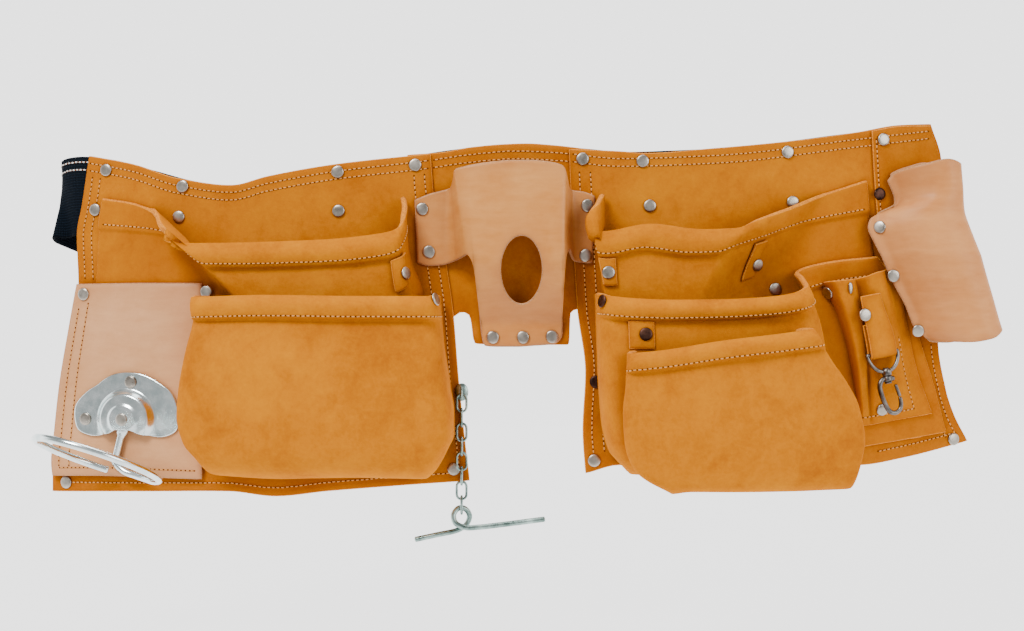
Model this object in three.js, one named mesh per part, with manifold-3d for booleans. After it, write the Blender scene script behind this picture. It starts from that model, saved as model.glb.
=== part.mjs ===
// A carpenter's nail apron: two suede bag panels on a webbing belt, with pockets, a hammer loop,
// a centre holder, a rolled holster, a tool sleeve with a snap hook, and a chain with a T-bar.
// Millimetres. +X is the picture's right, +Y goes back into the wearer, +Z is up.
// The origin is on the back face of the belt, at its middle height, in the middle of the front.
import * as THREE from 'three';
import { mergeVertices } from 'three/addons/utils/BufferGeometryUtils.js';
import Module from 'manifold-3d';

const wasm = await Module();
wasm.setup();

// Driving sizes of the whole apron
const reach = 300;
const drop = 240;
const flatHalf = 80;
const wrapBack = 36;

// Walls and the gap that touching pieces keep
const gap = 0.3;
const tabRoom = 0.8;
const suedeWall = 1.8;
const tanWall = 2.2;
const hemExtra = 1.9;
const hemShare = 0.12;
const webWall = 2;
const webHeight = 54;

// How far each pocket's face stands out from the sheet that it is sewn on
const leftRearDepth = 28;
const leftFrontDepth = 50;
const rightRearDepth = 25;
const rightMiddleDepth = 48;
const rightFrontDepth = 22;
const holderDepth = 24;
const holsterDepth = 27;
const sleeveDepth = 9;

// Rivets
const capRadius = 4.3;
const capHeight = 2;
const capSides = 8;
const shankRadius = 2.2;

// Hammer hanger
const plateWall = 1.5;
const domeRadius = 19;
const domeRise = 6.2;
const eyeRadius = 6.5;
const eyeWall = 2.6;
const shankRoom = 0.5;
const loopWire = 5;
const loopDiameter = 88;
const loopStem = 38;
const loopLean = 15;
const loopTip = 17;
const loopRaise = 12;
const loopYaw = 15;
const loopClear = 1.6;

// Chain, T-bar and staple
const linkWire = 1.7;
const linkWidth = 8.2;
const linkLength = 13.5;
const linkCount = 8;
const barWire = 3.7;
const barSpan = 88;

// Snap hook on its strap
const strapWidth = 18;
const strapDrop = 40;
const strapWall = 1.8;
const eyeWire = 2.6;
const eyeWidth = 25;
const eyeDrop = 13;
const hookWire = 3.4;
const hookWidth = 13.8;
const hookLength = 28;
const bossRadius = 3.2;
const bossLength = 5;
const gateWire = 2.4;

// Belt loop behind the apron
const loopDepth = 96;
const buckleWidth = 34;
const buckleFrame = 4;
const buckleThick = 7;

const degrees = Math.PI / 180;
const upright = new THREE.Vector3(0, 0, 1);
const apron = new THREE.Group();

const finishes = {
  suede: { color: 0xd9942a, roughness: 0.95, metalness: 0 },
  tan: { color: 0xdcab82, roughness: 0.55, metalness: 0 },
  webbing: { color: 0x0a1420, roughness: 0.85, metalness: 0 },
  nickel: { color: 0xbdb7ae, roughness: 0.35, metalness: 1 },
  zinc: { color: 0xc4d3d3, roughness: 0.25, metalness: 1 },
  gunmetal: { color: 0x6f6a65, roughness: 0.35, metalness: 1 },
  black_plastic: { color: 0x15161a, roughness: 0.5, metalness: 0 },
};

function add(name, geometry, finish, parent = apron) {
  const mesh = new THREE.Mesh(geometry, new THREE.MeshStandardMaterial(finishes[finish]));
  mesh.name = name;
  parent.add(mesh);
  return mesh;
}

// Tables

// A smooth run through rows of [share, value] that never overshoots them.
function smooth(rows) {
  const xs = rows.map((row) => row[0]);
  const ys = rows.map((row) => row[1]);
  const last = xs.length - 1;
  const slopes = xs.slice(1).map((x, i) => (ys[i + 1] - ys[i]) / (x - xs[i]));
  const tangents = xs.map((x, i) => {
    if (i === 0) return slopes[0];
    if (i === last) return slopes[last - 1];
    if (slopes[i - 1] * slopes[i] <= 0) return 0;
    return (2 * slopes[i - 1] * slopes[i]) / (slopes[i - 1] + slopes[i]);
  });
  return (x) => {
    if (x <= xs[0]) return ys[0];
    if (x >= xs[last]) return ys[last];
    let i = 0;
    while (x > xs[i + 1]) i += 1;
    const h = xs[i + 1] - xs[i];
    const t = (x - xs[i]) / h;
    const u = 1 - t;
    const ends = ys[i] * (1 + 2 * t) * u * u + ys[i + 1] * t * t * (3 - 2 * t);
    return ends + h * t * u * (tangents[i] * u - tangents[i + 1] * t);
  };
}

// An edge through rows of [across, up], shares of reach and drop, or of [along, across, up].
function edge(rows) {
  let along = rows.map((row) => row[0]);
  const points = rows.map((row) => row.slice(-2));
  if (rows[0].length === 2) {
    along = [0];
    for (let i = 1; i < points.length; i += 1) {
      const stepX = (points[i][0] - points[i - 1][0]) * reach;
      const stepZ = (points[i][1] - points[i - 1][1]) * drop;
      along.push(along[i - 1] + Math.hypot(stepX, stepZ));
    }
    along = along.map((length) => length / along[along.length - 1]);
  }
  const across = smooth(along.map((share, i) => [share, points[i][0] * reach]));
  const up = smooth(along.map((share, i) => [share, points[i][1] * drop]));
  return (share) => [across(share), up(share)];
}

// The flat cut of a piece between its four edges: share s runs across, share t runs down.
// A hurry above 1 draws the cut in sideways soon below its top edge.
function patchBetween([top, right, bottom, left], hurry = 1) {
  const corners = [top(0), top(1), bottom(0), bottom(1)];
  return (s, t) => [0, 1].map((k) => {
    const low = k === 0 ? 1 - (1 - t) ** hurry : t;
    const ruled = (1 - low) * top(s)[k] + low * bottom(s)[k] + (1 - s) * left(t)[k] + s * right(t)[k];
    const upper = (1 - s) * corners[0][k] + s * corners[1][k];
    const lower = (1 - s) * corners[2][k] + s * corners[3][k];
    return ruled - (1 - low) * upper - low * lower;
  });
}

// Surfaces

function bend(x) {
  const past = Math.max(0, Math.abs(x) - flatHalf) / (reach - flatHalf);
  return wrapBack * past * past;
}

function bendSlope(x) {
  const past = Math.max(0, Math.abs(x) - flatHalf) / (reach - flatHalf);
  return (Math.sign(x) * 2 * wrapBack * past) / (reach - flatHalf);
}

// The point that stands `lift` in front of the belt's back face, which wraps back at both ends.
function place(x, z, lift) {
  const slope = bendSlope(x);
  const length = Math.hypot(1, slope);
  return new THREE.Vector3(x + (lift * slope) / length, bend(x) - lift / length, z);
}

// How far in front of the belt's back face each layer's own front face lies
const centreLift = webWall + gap + suedeWall;
const panelLift = centreLift + gap + suedeWall;
const onPanel = panelLift + gap + suedeWall;
const onPocketFlap = onPanel + gap + suedeWall;
const onPatch = onPanel + gap + tanWall;
const middleFaceFall = 2.4;
const onMiddleFace = onPocketFlap + rightMiddleDepth - middleFaceFall + gap + suedeWall;

// A closed thin wall. The grid holds points of its outer face, and walls[row] is its thickness.
function wallFromGrid(grid, walls, around = false) {
  const rows = grid.length;
  const columns = grid[0].length;
  const positions = [];
  const clampRow = (j) => Math.min(rows - 1, Math.max(0, j));
  const wrapColumn = (i) => (around ? (i + columns) % columns : Math.min(columns - 1, Math.max(0, i)));
  const inner = grid.map((line, j) => line.map((point, i) => {
    const across = new THREE.Vector3().subVectors(grid[j][wrapColumn(i + 1)], grid[j][wrapColumn(i - 1)]);
    const down = new THREE.Vector3().subVectors(grid[clampRow(j + 1)][i], grid[clampRow(j - 1)][i]);
    const normal = new THREE.Vector3().crossVectors(down, across).normalize();
    return point.clone().addScaledVector(normal, -walls[j]);
  }));
  for (const face of [grid, inner]) {
    for (const line of face) {
      for (const point of line) positions.push(point.x, point.y, point.z);
    }
  }
  const outerAt = (j, i) => j * columns + wrapColumn(i);
  const innerAt = (j, i) => rows * columns + outerAt(j, i);
  const indices = [];
  const quad = (a, b, c, d) => indices.push(a, b, c, a, c, d);
  const lastColumn = around ? columns : columns - 1;
  for (let j = 0; j < rows - 1; j += 1) {
    for (let i = 0; i < lastColumn; i += 1) {
      quad(outerAt(j, i), outerAt(j + 1, i), outerAt(j + 1, i + 1), outerAt(j, i + 1));
      quad(innerAt(j, i), innerAt(j, i + 1), innerAt(j + 1, i + 1), innerAt(j + 1, i));
    }
  }
  for (let i = 0; i < lastColumn; i += 1) {
    quad(outerAt(0, i), outerAt(0, i + 1), innerAt(0, i + 1), innerAt(0, i));
    quad(outerAt(rows - 1, i + 1), outerAt(rows - 1, i), innerAt(rows - 1, i), innerAt(rows - 1, i + 1));
  }
  if (!around) {
    for (let j = 0; j < rows - 1; j += 1) {
      quad(outerAt(j + 1, 0), outerAt(j, 0), innerAt(j, 0), innerAt(j + 1, 0));
      quad(outerAt(j, columns - 1), outerAt(j + 1, columns - 1),
        innerAt(j + 1, columns - 1), innerAt(j, columns - 1));
    }
  }
  const geometry = new THREE.BufferGeometry();
  geometry.setAttribute('position', new THREE.Float32BufferAttribute(positions, 3));
  geometry.setIndex(indices);
  geometry.computeVertexNormals();
  return geometry;
}

function evenShares(count) {
  return Array.from({ length: count + 1 }, (unused, i) => i / count);
}

// A flat piece that lies on the bag panels or the belt, cut between its four edges.
function flatPiece(edges, columns, rows, wall, liftAt) {
  const cut = patchBetween(edges.map(edge));
  const downs = evenShares(rows);
  const grid = downs.map((t) => evenShares(columns).map((s) => {
    const [x, z] = cut(s, t);
    return place(x, z, liftAt(s, t));
  }));
  return wallFromGrid(grid, downs.map(() => wall));
}

// A sewn bag. Its sections are rows of [along, foot, out] across and [down, foot, out] downward:
// `out` is a share of the depth, and `foot` is where that line meets the seam at a corner.
function bagGrid({ edges, hurry, acrossRows, downRows, depth, lift }) {
  const cut = patchBetween(edges.map(edge), hurry);
  return downRows.map(([down, downFoot, downOut]) => acrossRows.map(([along, foot, out]) => {
    const s = foot + (along - foot) * Math.min(1, 2 * downOut);
    const t = downFoot + (down - downFoot) * Math.min(1, 2 * out);
    const [x, z] = cut(s, t);
    return place(x, z, lift + inHem(down) * hemExtra + depth * out * downOut);
  }));
}

function inHem(down) {
  return down < hemShare ? 1 : 0;
}

function bag(section) {
  const walls = section.downRows.map(([down]) => suedeWall + inHem(down) * hemExtra);
  return wallFromGrid(bagGrid(section), walls);
}

// A small strap that lies on a bag's face, between given places of the bag's own grid.
function strapOn(section, columnPlaces, rowPlaces, wall) {
  const face = bagGrid(section);
  const between = (column, row) => {
    const [i, j] = [Math.floor(column), Math.floor(row)];
    const upper = face[j][i].clone().lerp(face[j][i + 1], column - i);
    const lower = face[j + 1][i].clone().lerp(face[j + 1][i + 1], column - i);
    return upper.lerp(lower, row - j);
  };
  const grid = rowPlaces.map(([row, shift]) => columnPlaces.map((column) => {
    const point = between(column + shift, row);
    const across = between(column + shift + 0.05, row).sub(point);
    const down = between(column + shift, row + 0.05).sub(point);
    const normal = new THREE.Vector3().crossVectors(down, across).normalize();
    return point.addScaledVector(normal, tabRoom + wall);
  }));
  return wallFromGrid(grid, rowPlaces.map(() => wall));
}

// Solids

function toManifold(geometry) {
  const bare = geometry.clone();
  bare.deleteAttribute('normal');
  bare.deleteAttribute('uv');
  const merged = mergeVertices(bare, 1e-3);
  const vertProperties = new Float32Array(merged.attributes.position.array);
  const triVerts = new Uint32Array(merged.index.array);
  return new wasm.Manifold(new wasm.Mesh({ numProp: 3, vertProperties, triVerts }));
}

function fromManifold(solid) {
  const mesh = solid.getMesh();
  const geometry = new THREE.BufferGeometry();
  geometry.setAttribute('position', new THREE.Float32BufferAttribute(mesh.vertProperties, 3));
  geometry.setIndex(Array.from(mesh.triVerts));
  geometry.computeVertexNormals();
  return geometry;
}

function circleShape(radius, sides) {
  const shape = new THREE.Shape();
  for (let i = 0; i < sides; i += 1) {
    const turn = (2 * Math.PI * i) / sides;
    const point = [radius * Math.cos(turn), radius * Math.sin(turn)];
    if (i === 0) shape.moveTo(...point);
    else shape.lineTo(...point);
  }
  shape.closePath();
  return shape;
}

function rod(path, wire, sides, steps) {
  return new THREE.ExtrudeGeometry(circleShape(wire / 2, sides), { extrudePath: path, steps });
}

function route(points) {
  return new THREE.CatmullRomCurve3(points.map((point) => new THREE.Vector3(...point)));
}

// A turned disc or pin with its axis along Y. Its profile runs from the back to the front, at -Y.
function turned(profile, sides = capSides) {
  const outline = profile.map(([r, y]) => new THREE.Vector2(r, y)).reverse();
  return new THREE.LatheGeometry(outline, sides);
}

// Stands a piece on the wrapped sheet with its own -Y along the sheet's outward direction.
function stand(object, x, z, lift) {
  object.position.copy(place(x, z, lift));
  object.rotation.z = Math.atan(bendSlope(x));
  return object;
}

// Flat panels

const leftBackEdges = [
  [[-0.976, 0.092], [-0.868, 0.064], [-0.761, 0.021], [-0.634, -0.001], [-0.551, 0.023], [-0.399, 0.055],
    [-0.185, 0.084]],
  [[-0.185, 0.084], [-0.178, -0.027], [-0.151, -0.213], [-0.135, -0.349], [-0.122, -0.546],
    [-0.106, -0.74], [-0.097, -0.833]],
  [[-1.069, -0.882], [-0.845, -0.873], [-0.642, -0.867], [-0.536, -0.879], [-0.415, -0.863],
    [-0.237, -0.845], [-0.097, -0.833]],
  [[-0.976, 0.092], [-0.994, -0.048], [-1.007, -0.135], [-1.003, -0.278], [-1.04, -0.535],
    [-1.069, -0.835], [-1.069, -0.882]],
];

const centreEdges = [
  [[-0.235, 0.082], [-0.158, 0.089], [-0.095, 0.103], [-0.016, 0.112], [0.032, 0.114], [0.095, 0.109],
    [0.2, 0.093]],
  [[0.2, 0.093], [0.2, -0.157], [0.2, -0.397]],
  [[-0.235, -0.411], [-0.133, -0.371], [-0.113, -0.357], [-0.095, -0.368], [-0.081, -0.447],
    [0.018, -0.45], [0.126, -0.45], [0.131, -0.36], [0.149, -0.349], [0.2, -0.397]],
  [[-0.235, 0.082], [-0.235, -0.157], [-0.235, -0.411]],
];

const rightBackEdges = [
  [[0.13, 0.097], [0.244, 0.091], [0.298, 0.086], [0.458, 0.101], [0.632, 0.124], [0.79, 0.154],
    [0.885, 0.177], [0.966, 0.184]],
  [[0.966, 0.184], [0.992, 0.078], [0.984, -0.179], [0.984, -0.441], [1.004, -0.587], [1.025, -0.661],
    [1.058, -0.735]],
  [[0.167, -0.812], [0.242, -0.789], [0.424, -0.79], [0.794, -0.796], [0.894, -0.779], [1.058, -0.735]],
  [[0.13, 0.097], [0.135, -0.044], [0.149, -0.349], [0.167, -0.529], [0.161, -0.692], [0.167, -0.812]],
];

add('left_back_panel', flatPiece(leftBackEdges, 18, 8, suedeWall, () => panelLift), 'suede');
add('centre_panel', flatPiece(centreEdges, 20, 5, suedeWall, () => centreLift), 'suede');
add('right_back_panel', flatPiece(rightBackEdges, 16, 8, suedeWall, () => panelLift), 'suede');

const endPanelEdges = [
  [[0.82, 0.158], [0.89, 0.174], [0.96, 0.178]],
  [[0.96, 0.178], [0.982, 0.076], [0.974, -0.18], [0.974, -0.412]],
  [[0.862, -0.325], [0.901, -0.368], [0.974, -0.412]],
  [[0.82, 0.158], [0.826, 0.027], [0.832, -0.064], [0.862, -0.325]],
];
add('right_end_panel', flatPiece(endPanelEdges, 4, 5, suedeWall, () => onPanel), 'suede');

// Pockets

const leftRear = {
  edges: [
    [[-0.936, -0.036], [-0.861, -0.052], [-0.81, -0.08], [-0.75, -0.141], [-0.712, -0.168],
      [-0.637, -0.169], [-0.418, -0.162], [-0.29, -0.145], [-0.245, -0.125], [-0.232, -0.075],
      [-0.238, -0.04]],
    [[-0.238, -0.04], [-0.236, -0.108], [-0.225, -0.214], [-0.2, -0.3], [-0.195, -0.411],
      [-0.2, -0.607], [-0.215, -0.76]],
    [[0, -1.015, -0.76], [0.145, -0.65, -0.765], [0.19, -0.6, -0.77], [0.27, -0.55, -0.77],
      [0.84, -0.27, -0.77], [1, -0.215, -0.76]],
    [[-0.936, -0.036], [-0.945, -0.104], [-0.955, -0.278], [-0.99, -0.47], [-1.01, -0.66],
      [-1.015, -0.76]],
  ],
  hurry: 3,
  acrossRows: [
    [0, 0, 0], [0.025, 0.025, 0], [0.05, 0.05, 0], [0.075, 0.075, 0], [0.1, 0.1, 0],
    [0.125, 0.125, 0], [0.15, 0.15, 0.02],
    [0.19, 0.19, 0.3], [0.23, 0.22, 0.72],
    [0.27, 0.25, 0.95], [0.33, 0.33, 1], [0.48, 0.48, 1], [0.64, 0.64, 1], [0.8, 0.8, 1],
    [0.89, 0.89, 0.97], [0.935, 0.93, 0.78], [0.965, 0.95, 0.45], [0.985, 0.975, 0.15], [1, 1, 0],
  ],
  downRows: [
    [0, 0, 0.97], [0.055, 0.055, 1], [0.11, 0.11, 1], [0.125, 0.125, 0.98], [0.3, 0.3, 1],
    [0.6, 0.6, 1], [0.85, 0.8, 1], [0.95, 0.88, 0.8], [1, 0.93, 0.4], [1, 0.97, 0.12], [1, 1, 0],
  ],
  depth: leftRearDepth,
  lift: onPanel,
};
add('left_rear_pocket', bag(leftRear), 'suede');

const leftFront = {
  edges: [
    [[-0.68, -0.32], [-0.512, -0.314], [-0.33, -0.317], [-0.158, -0.317]],
    [[-0.158, -0.317], [-0.152, -0.433], [-0.136, -0.569], [-0.128, -0.642], [-0.128, -0.7],
      [-0.141, -0.739], [-0.162, -0.788], [-0.188, -0.822]],
    [[-0.648, -0.815], [-0.504, -0.822], [-0.307, -0.818], [-0.188, -0.822]],
    [[-0.68, -0.32], [-0.677, -0.379], [-0.69, -0.473], [-0.703, -0.571], [-0.707, -0.645],
      [-0.694, -0.717], [-0.669, -0.765], [-0.648, -0.815]],
  ],
  acrossRows: [
    [0, 0, 0], [0, 0.02, 0.28], [0, 0.04, 0.6], [0.02, 0.06, 0.86], [0.07, 0.1, 0.97], [0.2, 0.2, 1],
    [0.4, 0.4, 1.03], [0.6, 0.6, 1.03], [0.8, 0.8, 1], [0.93, 0.9, 0.97], [0.98, 0.94, 0.86],
    [1, 0.96, 0.6], [1, 0.98, 0.28], [1, 1, 0],
  ],
  downRows: [
    [0, 0, 0.9], [0.05, 0.05, 0.93], [0.115, 0.11, 0.93], [0.13, 0.125, 0.9], [0.35, 0.35, 1.02],
    [0.6, 0.58, 1.06], [0.8, 0.76, 1.04], [0.92, 0.85, 0.92], [0.98, 0.9, 0.68], [1, 0.935, 0.35],
    [0.99, 0.965, 0.1], [0.985, 0.985, 0],
  ],
  depth: leftFrontDepth,
  lift: onPatch,
};
add('left_front_pocket', bag(leftFront), 'suede');

const rightRear = {
  edges: [
    [[0.196, -0.032], [0.184, -0.06], [0.172, -0.1], [0.175, -0.135], [0.198, -0.138], [0.303, -0.118],
      [0.406, -0.132], [0.48, -0.129], [0.528, -0.108], [0.615, -0.073], [0.714, -0.025],
      [0.803, 0.012]],
    [[0.803, 0.012], [0.815, -0.153], [0.864, -0.411], [0.913, -0.6], [0.938, -0.72]],
    [[0, 0.235, -0.72], [0.1, 0.26, -0.74], [0.56, 0.43, -0.76], [0.71, 0.5, -0.76],
      [0.85, 0.61, -0.755], [1, 0.938, -0.72]],
    [[0.196, -0.032], [0.198, -0.186], [0.2, -0.41], [0.208, -0.607], [0.235, -0.72]],
  ],
  hurry: 3,
  acrossRows: [
    [0, 0, 0], [0.025, 0.02, 0.4], [0.05, 0.04, 0.8], [0.08, 0.07, 0.97], [0.12, 0.11, 1],
    [0.28, 0.28, 1], [0.4, 0.4, 0.97], [0.5, 0.5, 1], [0.57, 0.57, 0.97], [0.64, 0.64, 0.8],
    [0.71, 0.71, 0.52], [0.78, 0.78, 0.24], [0.84, 0.84, 0.06], [0.87, 0.87, 0.01], [0.895, 0.895, 0],
    [0.92, 0.92, 0], [0.947, 0.947, 0], [0.973, 0.973, 0], [1, 1, 0],
  ],
  downRows: [
    [0, 0, 0.97], [0.055, 0.055, 1], [0.11, 0.11, 1], [0.125, 0.125, 0.98], [0.3, 0.3, 1],
    [0.6, 0.6, 1], [0.85, 0.8, 1], [0.95, 0.88, 0.8], [1, 0.93, 0.4], [1, 0.97, 0.12], [1, 1, 0],
  ],
  depth: rightRearDepth,
  lift: onPanel,
};
add('right_rear_pocket', bag(rightRear), 'suede');

const rightMiddle = {
  edges: [
    [[0.184, -0.312], [0.253, -0.322], [0.336, -0.327], [0.447, -0.325], [0.536, -0.318],
      [0.598, -0.303], [0.63, -0.28], [0.632, -0.256], [0.715, -0.221], [0.826, -0.205]],
    [[0.826, -0.205], [0.894, -0.325], [0.934, -0.455], [0.969, -0.586], [0.997, -0.714]],
    [[0, 0.262, -0.81], [0.35, 0.441, -0.81], [0.62, 0.66, -0.795], [0.735, 0.775, -0.755],
      [0.85, 0.88, -0.735], [1, 0.997, -0.714]],
    [[0.184, -0.312], [0.189, -0.469], [0.193, -0.578], [0.2, -0.678], [0.215, -0.746],
      [0.239, -0.781], [0.262, -0.81]],
  ],
  acrossRows: [
    [0, 0, 0], [0, 0.02, 0.28], [0, 0.04, 0.6], [0.02, 0.06, 0.88], [0.06, 0.1, 0.98], [0.2, 0.2, 1],
    [0.35, 0.35, 1], [0.5, 0.5, 1], [0.6, 0.6, 0.96], [0.65, 0.65, 0.78], [0.685, 0.685, 0.5],
    [0.71, 0.71, 0.22], [0.735, 0.735, 0.03], [0.8, 0.8, 0], [0.9, 0.9, 0], [1, 1, 0],
  ],
  downRows: [
    [0, 0, 0.95], [0.05, 0.05, 0.98], [0.11, 0.11, 0.98], [0.125, 0.125, 0.95], [0.35, 0.35, 1],
    [0.6, 0.58, 1], [0.82, 0.76, 1], [0.93, 0.85, 0.92], [0.985, 0.9, 0.68], [1, 0.935, 0.35],
    [0.99, 0.965, 0.1], [0.985, 0.985, 0],
  ],
  depth: rightMiddleDepth,
  lift: onPocketFlap,
};
add('right_middle_pocket', bag(rightMiddle), 'suede');

const rightFront = {
  edges: [
    [[0.243, -0.47], [0.309, -0.461], [0.422, -0.436], [0.537, -0.417], [0.608, -0.404]],
    [[0.608, -0.404], [0.642, -0.485], [0.677, -0.555], [0.697, -0.607], [0.71, -0.705],
      [0.702, -0.773], [0.69, -0.838]],
    [[0.335, -0.848], [0.372, -0.842], [0.505, -0.842], [0.69, -0.838]],
    [[0.243, -0.47], [0.24, -0.551], [0.232, -0.628], [0.236, -0.709], [0.253, -0.768],
      [0.272, -0.795], [0.335, -0.848]],
  ],
  acrossRows: [
    [0.045, 0.05, 0], [0.015, 0.07, 0.28], [0, 0.09, 0.6], [0.02, 0.12, 0.88], [0.07, 0.16, 0.98],
    [0.2, 0.24, 1.02], [0.4, 0.42, 1.08], [0.6, 0.6, 1.08], [0.8, 0.76, 1.02], [0.93, 0.84, 0.98],
    [0.98, 0.88, 0.88], [1, 0.91, 0.6], [0.985, 0.93, 0.28], [0.95, 0.95, 0],
  ],
  downRows: [
    [0, 0, 0.86], [0.05, 0.05, 0.92], [0.115, 0.1, 0.93], [0.13, 0.115, 0.9], [0.35, 0.32, 1.02],
    [0.6, 0.52, 1.08], [0.8, 0.68, 1.06], [0.92, 0.76, 0.94], [0.98, 0.79, 0.7], [1, 0.81, 0.38],
    [0.94, 0.825, 0.12], [0.83, 0.83, 0],
  ],
  depth: rightFrontDepth,
  lift: onMiddleFace,
};
add('right_front_pocket', bag(rightFront), 'suede');

// Hammer patch

const patchEdges = [
  [[-0.999, -0.281], [-0.846, -0.279], [-0.7, -0.28]],
  [[-0.7, -0.28], [-0.7, -0.553], [-0.7, -0.832]],
  [[-1.06, -0.834], [-0.905, -0.829], [-0.7, -0.832]],
  [[-0.999, -0.281], [-1.019, -0.409], [-1.042, -0.567], [-1.055, -0.701], [-1.063, -0.8],
    [-1.06, -0.834]],
];
add('hammer_patch', flatPiece(patchEdges, 8, 6, tanWall, () => onPatch), 'tan');


// Straps that hold the pockets' corners

const tabs = [
  { name: 'left_pocket_tab', on: leftRear, columns: [13.85, 14, 14.6], rows: [[3.1, 0], [3.85, 0]] },
  { name: 'right_pocket_tab', on: rightRear, columns: [4.02, 4.45], rows: [[3.05, 0], [3.75, 0]] },
  { name: 'slanted_tab', on: rightRear, columns: [9.85, 10, 10.5], rows: [[3.05, 0], [3.5, 0.35], [3.95, 0.7]] },
  { name: 'middle_pocket_tab', on: rightMiddle, columns: [4.36, 4.82], rows: [[3.05, 0], [3.7, 0]] },
];
for (const { name, on, columns, rows } of tabs) {
  add(name, strapOn(on, columns, rows, suedeWall), 'suede');
}

// Tool sleeve: two slots with a seam between them

const sleeveEdges = [
  [[0, 0.695, -0.277], [0.25, 0.728, -0.272], [0.5, 0.77, -0.266], [0.75, 0.81, -0.248],
    [1, 0.861, -0.237]],
  [[0.861, -0.237], [0.892, -0.383], [0.919, -0.527], [0.956, -0.651]],
  [[0, 0.786, -0.684], [0.5, 0.81, -0.68], [1, 0.956, -0.651]],
  [[0.695, -0.277], [0.748, -0.439], [0.786, -0.684]],
];
const onSleeveFoot = onPocketFlap + 2 * gap + suedeWall;
const overHem = smooth([[0, 1], [0.15, 1], [0.35, 0]]);
const slotSwell = smooth([
  [0, 0], [0.05, 0.5], [0.12, 0.95], [0.2, 1], [0.33, 1], [0.41, 0.9], [0.47, 0.4], [0.5, 0],
  [0.53, 0.4], [0.59, 0.9], [0.66, 1], [0.76, 1], [0.82, 0.8], [0.88, 0.25], [0.93, 0], [1, 0],
]);
const slotFade = smooth([[0, 1], [0.5, 0.9], [0.85, 0.45], [1, 0]]);
const sleeveLift = (s, t) => (
  onSleeveFoot + hemExtra * overHem(t) + sleeveDepth * slotSwell(s) * slotFade(t));
add('tool_sleeve', flatPiece(sleeveEdges, 20, 5, suedeWall, sleeveLift), 'suede');

// Hammer plate, pressed with a half-round dome that is open downwards

const plateCentre = [-0.873 * reach, -0.666 * drop];
const plateHeight = 38;
const plateOutline = [
  [0, 1.29, 0.02], [25, 1.28, 0], [50, 1.17, 0], [75, 1.12, 0], [90, 1.1, 0], [105, 1.1, 0],
  [130, 1.08, 0], [150, 1.2, 0], [170, 1.33, 0], [190, 1.28, 0], [203, 1.02, 0], [215, 0.66, 0],
  [235, 0.3, 0], [270, 0.22, 0], [305, 0.3, 0], [325, 0.66, 0], [337, 1.02, 0], [350, 1.26, 0],
];
const plateSteps = [[0, 1], [0.3, 1], [0.62, 0.9], [0.78, 0.35], [1, 0]];
const domeShare = smooth([[0, 1], [0.55, 0.95], [0.75, 0.75], [0.9, 0.3], [1, 0]]);

function platePoint(turn, radius) {
  const x = plateCentre[0] + radius * Math.cos(turn * degrees);
  const z = plateCentre[1] + radius * Math.sin(turn * degrees);
  return place(x, z, onPatch + gap + plateWall + domeRise * domeShare(radius / domeRadius));
}

const plateGrid = plateSteps.map(([share]) => plateOutline.map(([turn, size]) => {
  const rim = size * plateHeight / 1.32;
  const hole = shankRadius + shankRoom;
  return platePoint(turn, hole + (Math.max(rim, hole + 4) - hole) * share);
}));
add('hammer_plate', wallFromGrid(plateGrid, plateSteps.map(() => plateWall), true), 'zinc');

// Hammer loop: an eye on the plate's rivet, a stem, and one full turn of wire

const hanger = new THREE.Group();
stand(hanger, plateCentre[0], plateCentre[1], onPatch);
apron.add(hanger);

const eyeLift = gap + 0.6 + eyeWall / 2;
const wireLift = eyeLift + loopWire / 2 - eyeWall / 2;
const ringRadius = (loopDiameter - loopWire) / 2;
const lean = -loopLean * degrees;

function loopPath() {
  const points = [];
  const stemDirection = new THREE.Vector3(Math.sin(lean), 0, -Math.cos(lean));
  const stemEnd = stemDirection.clone().multiplyScalar(loopStem);
  const side = new THREE.Vector3(Math.cos(loopTip * degrees), 0, -Math.sin(loopTip * degrees));
  const level = new THREE.Vector3(0, -Math.cos(loopRaise * degrees), Math.sin(loopRaise * degrees));
  side.applyAxisAngle(upright, loopYaw * degrees);
  level.applyAxisAngle(upright, loopYaw * degrees);
  const start = 12 * degrees;
  const centre = stemEnd.clone().addScaledVector(level, ringRadius + loopClear);
  for (const share of [0.12, 0.4, 0.7]) {
    points.push(stemDirection.clone().multiplyScalar(loopStem * share));
  }
  points.push(stemEnd.clone().addScaledVector(stemDirection, -5));
  const turns = 26;
  for (let i = 0; i <= turns; i += 1) {
    const turn = start + (i / turns) * (2 * Math.PI - 2.2 * start);
    const sink = Math.min(1, i / 3) * 2.5;
    const point = centre.clone()
      .addScaledVector(side, ringRadius * Math.sin(turn))
      .addScaledVector(level, -ringRadius * Math.cos(turn));
    point.z -= sink;
    points.push(point);
  }
  return points.map((point) => [point.x, point.y, point.z]);
}

function pinHole(radius, length) {
  return new THREE.CylinderGeometry(radius, radius, length, 12);
}

const eyeDisc = toManifold(new THREE.CylinderGeometry(eyeRadius, eyeRadius, eyeWall, 16));
const loopRod = toManifold(rod(route(loopPath()), loopWire, 8, 46));
const loopSolid = eyeDisc.add(loopRod).subtract(toManifold(pinHole(shankRadius + shankRoom, 12)));
const hammerLoop = add('hammer_loop', fromManifold(loopSolid), 'zinc', hanger);
hammerLoop.position.y = -wireLift;

// Pivot rivet: a cap on the dome and a shank down to the patch
const pivotCapFoot = gap + plateWall + domeRise + gap;
const pivotProfile = [
  [0, -gap], [shankRadius, -gap], [shankRadius, -pivotCapFoot], [capRadius, -pivotCapFoot],
  [capRadius * 0.7, -pivotCapFoot - capHeight * 0.8], [0, -pivotCapFoot - capHeight],
];
add('hammer_pivot_rivet', turned(pivotProfile, 10), 'nickel', hanger);

// Centre holder: ears on the panels, a tunnel between them, and a tab riveted below

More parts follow.
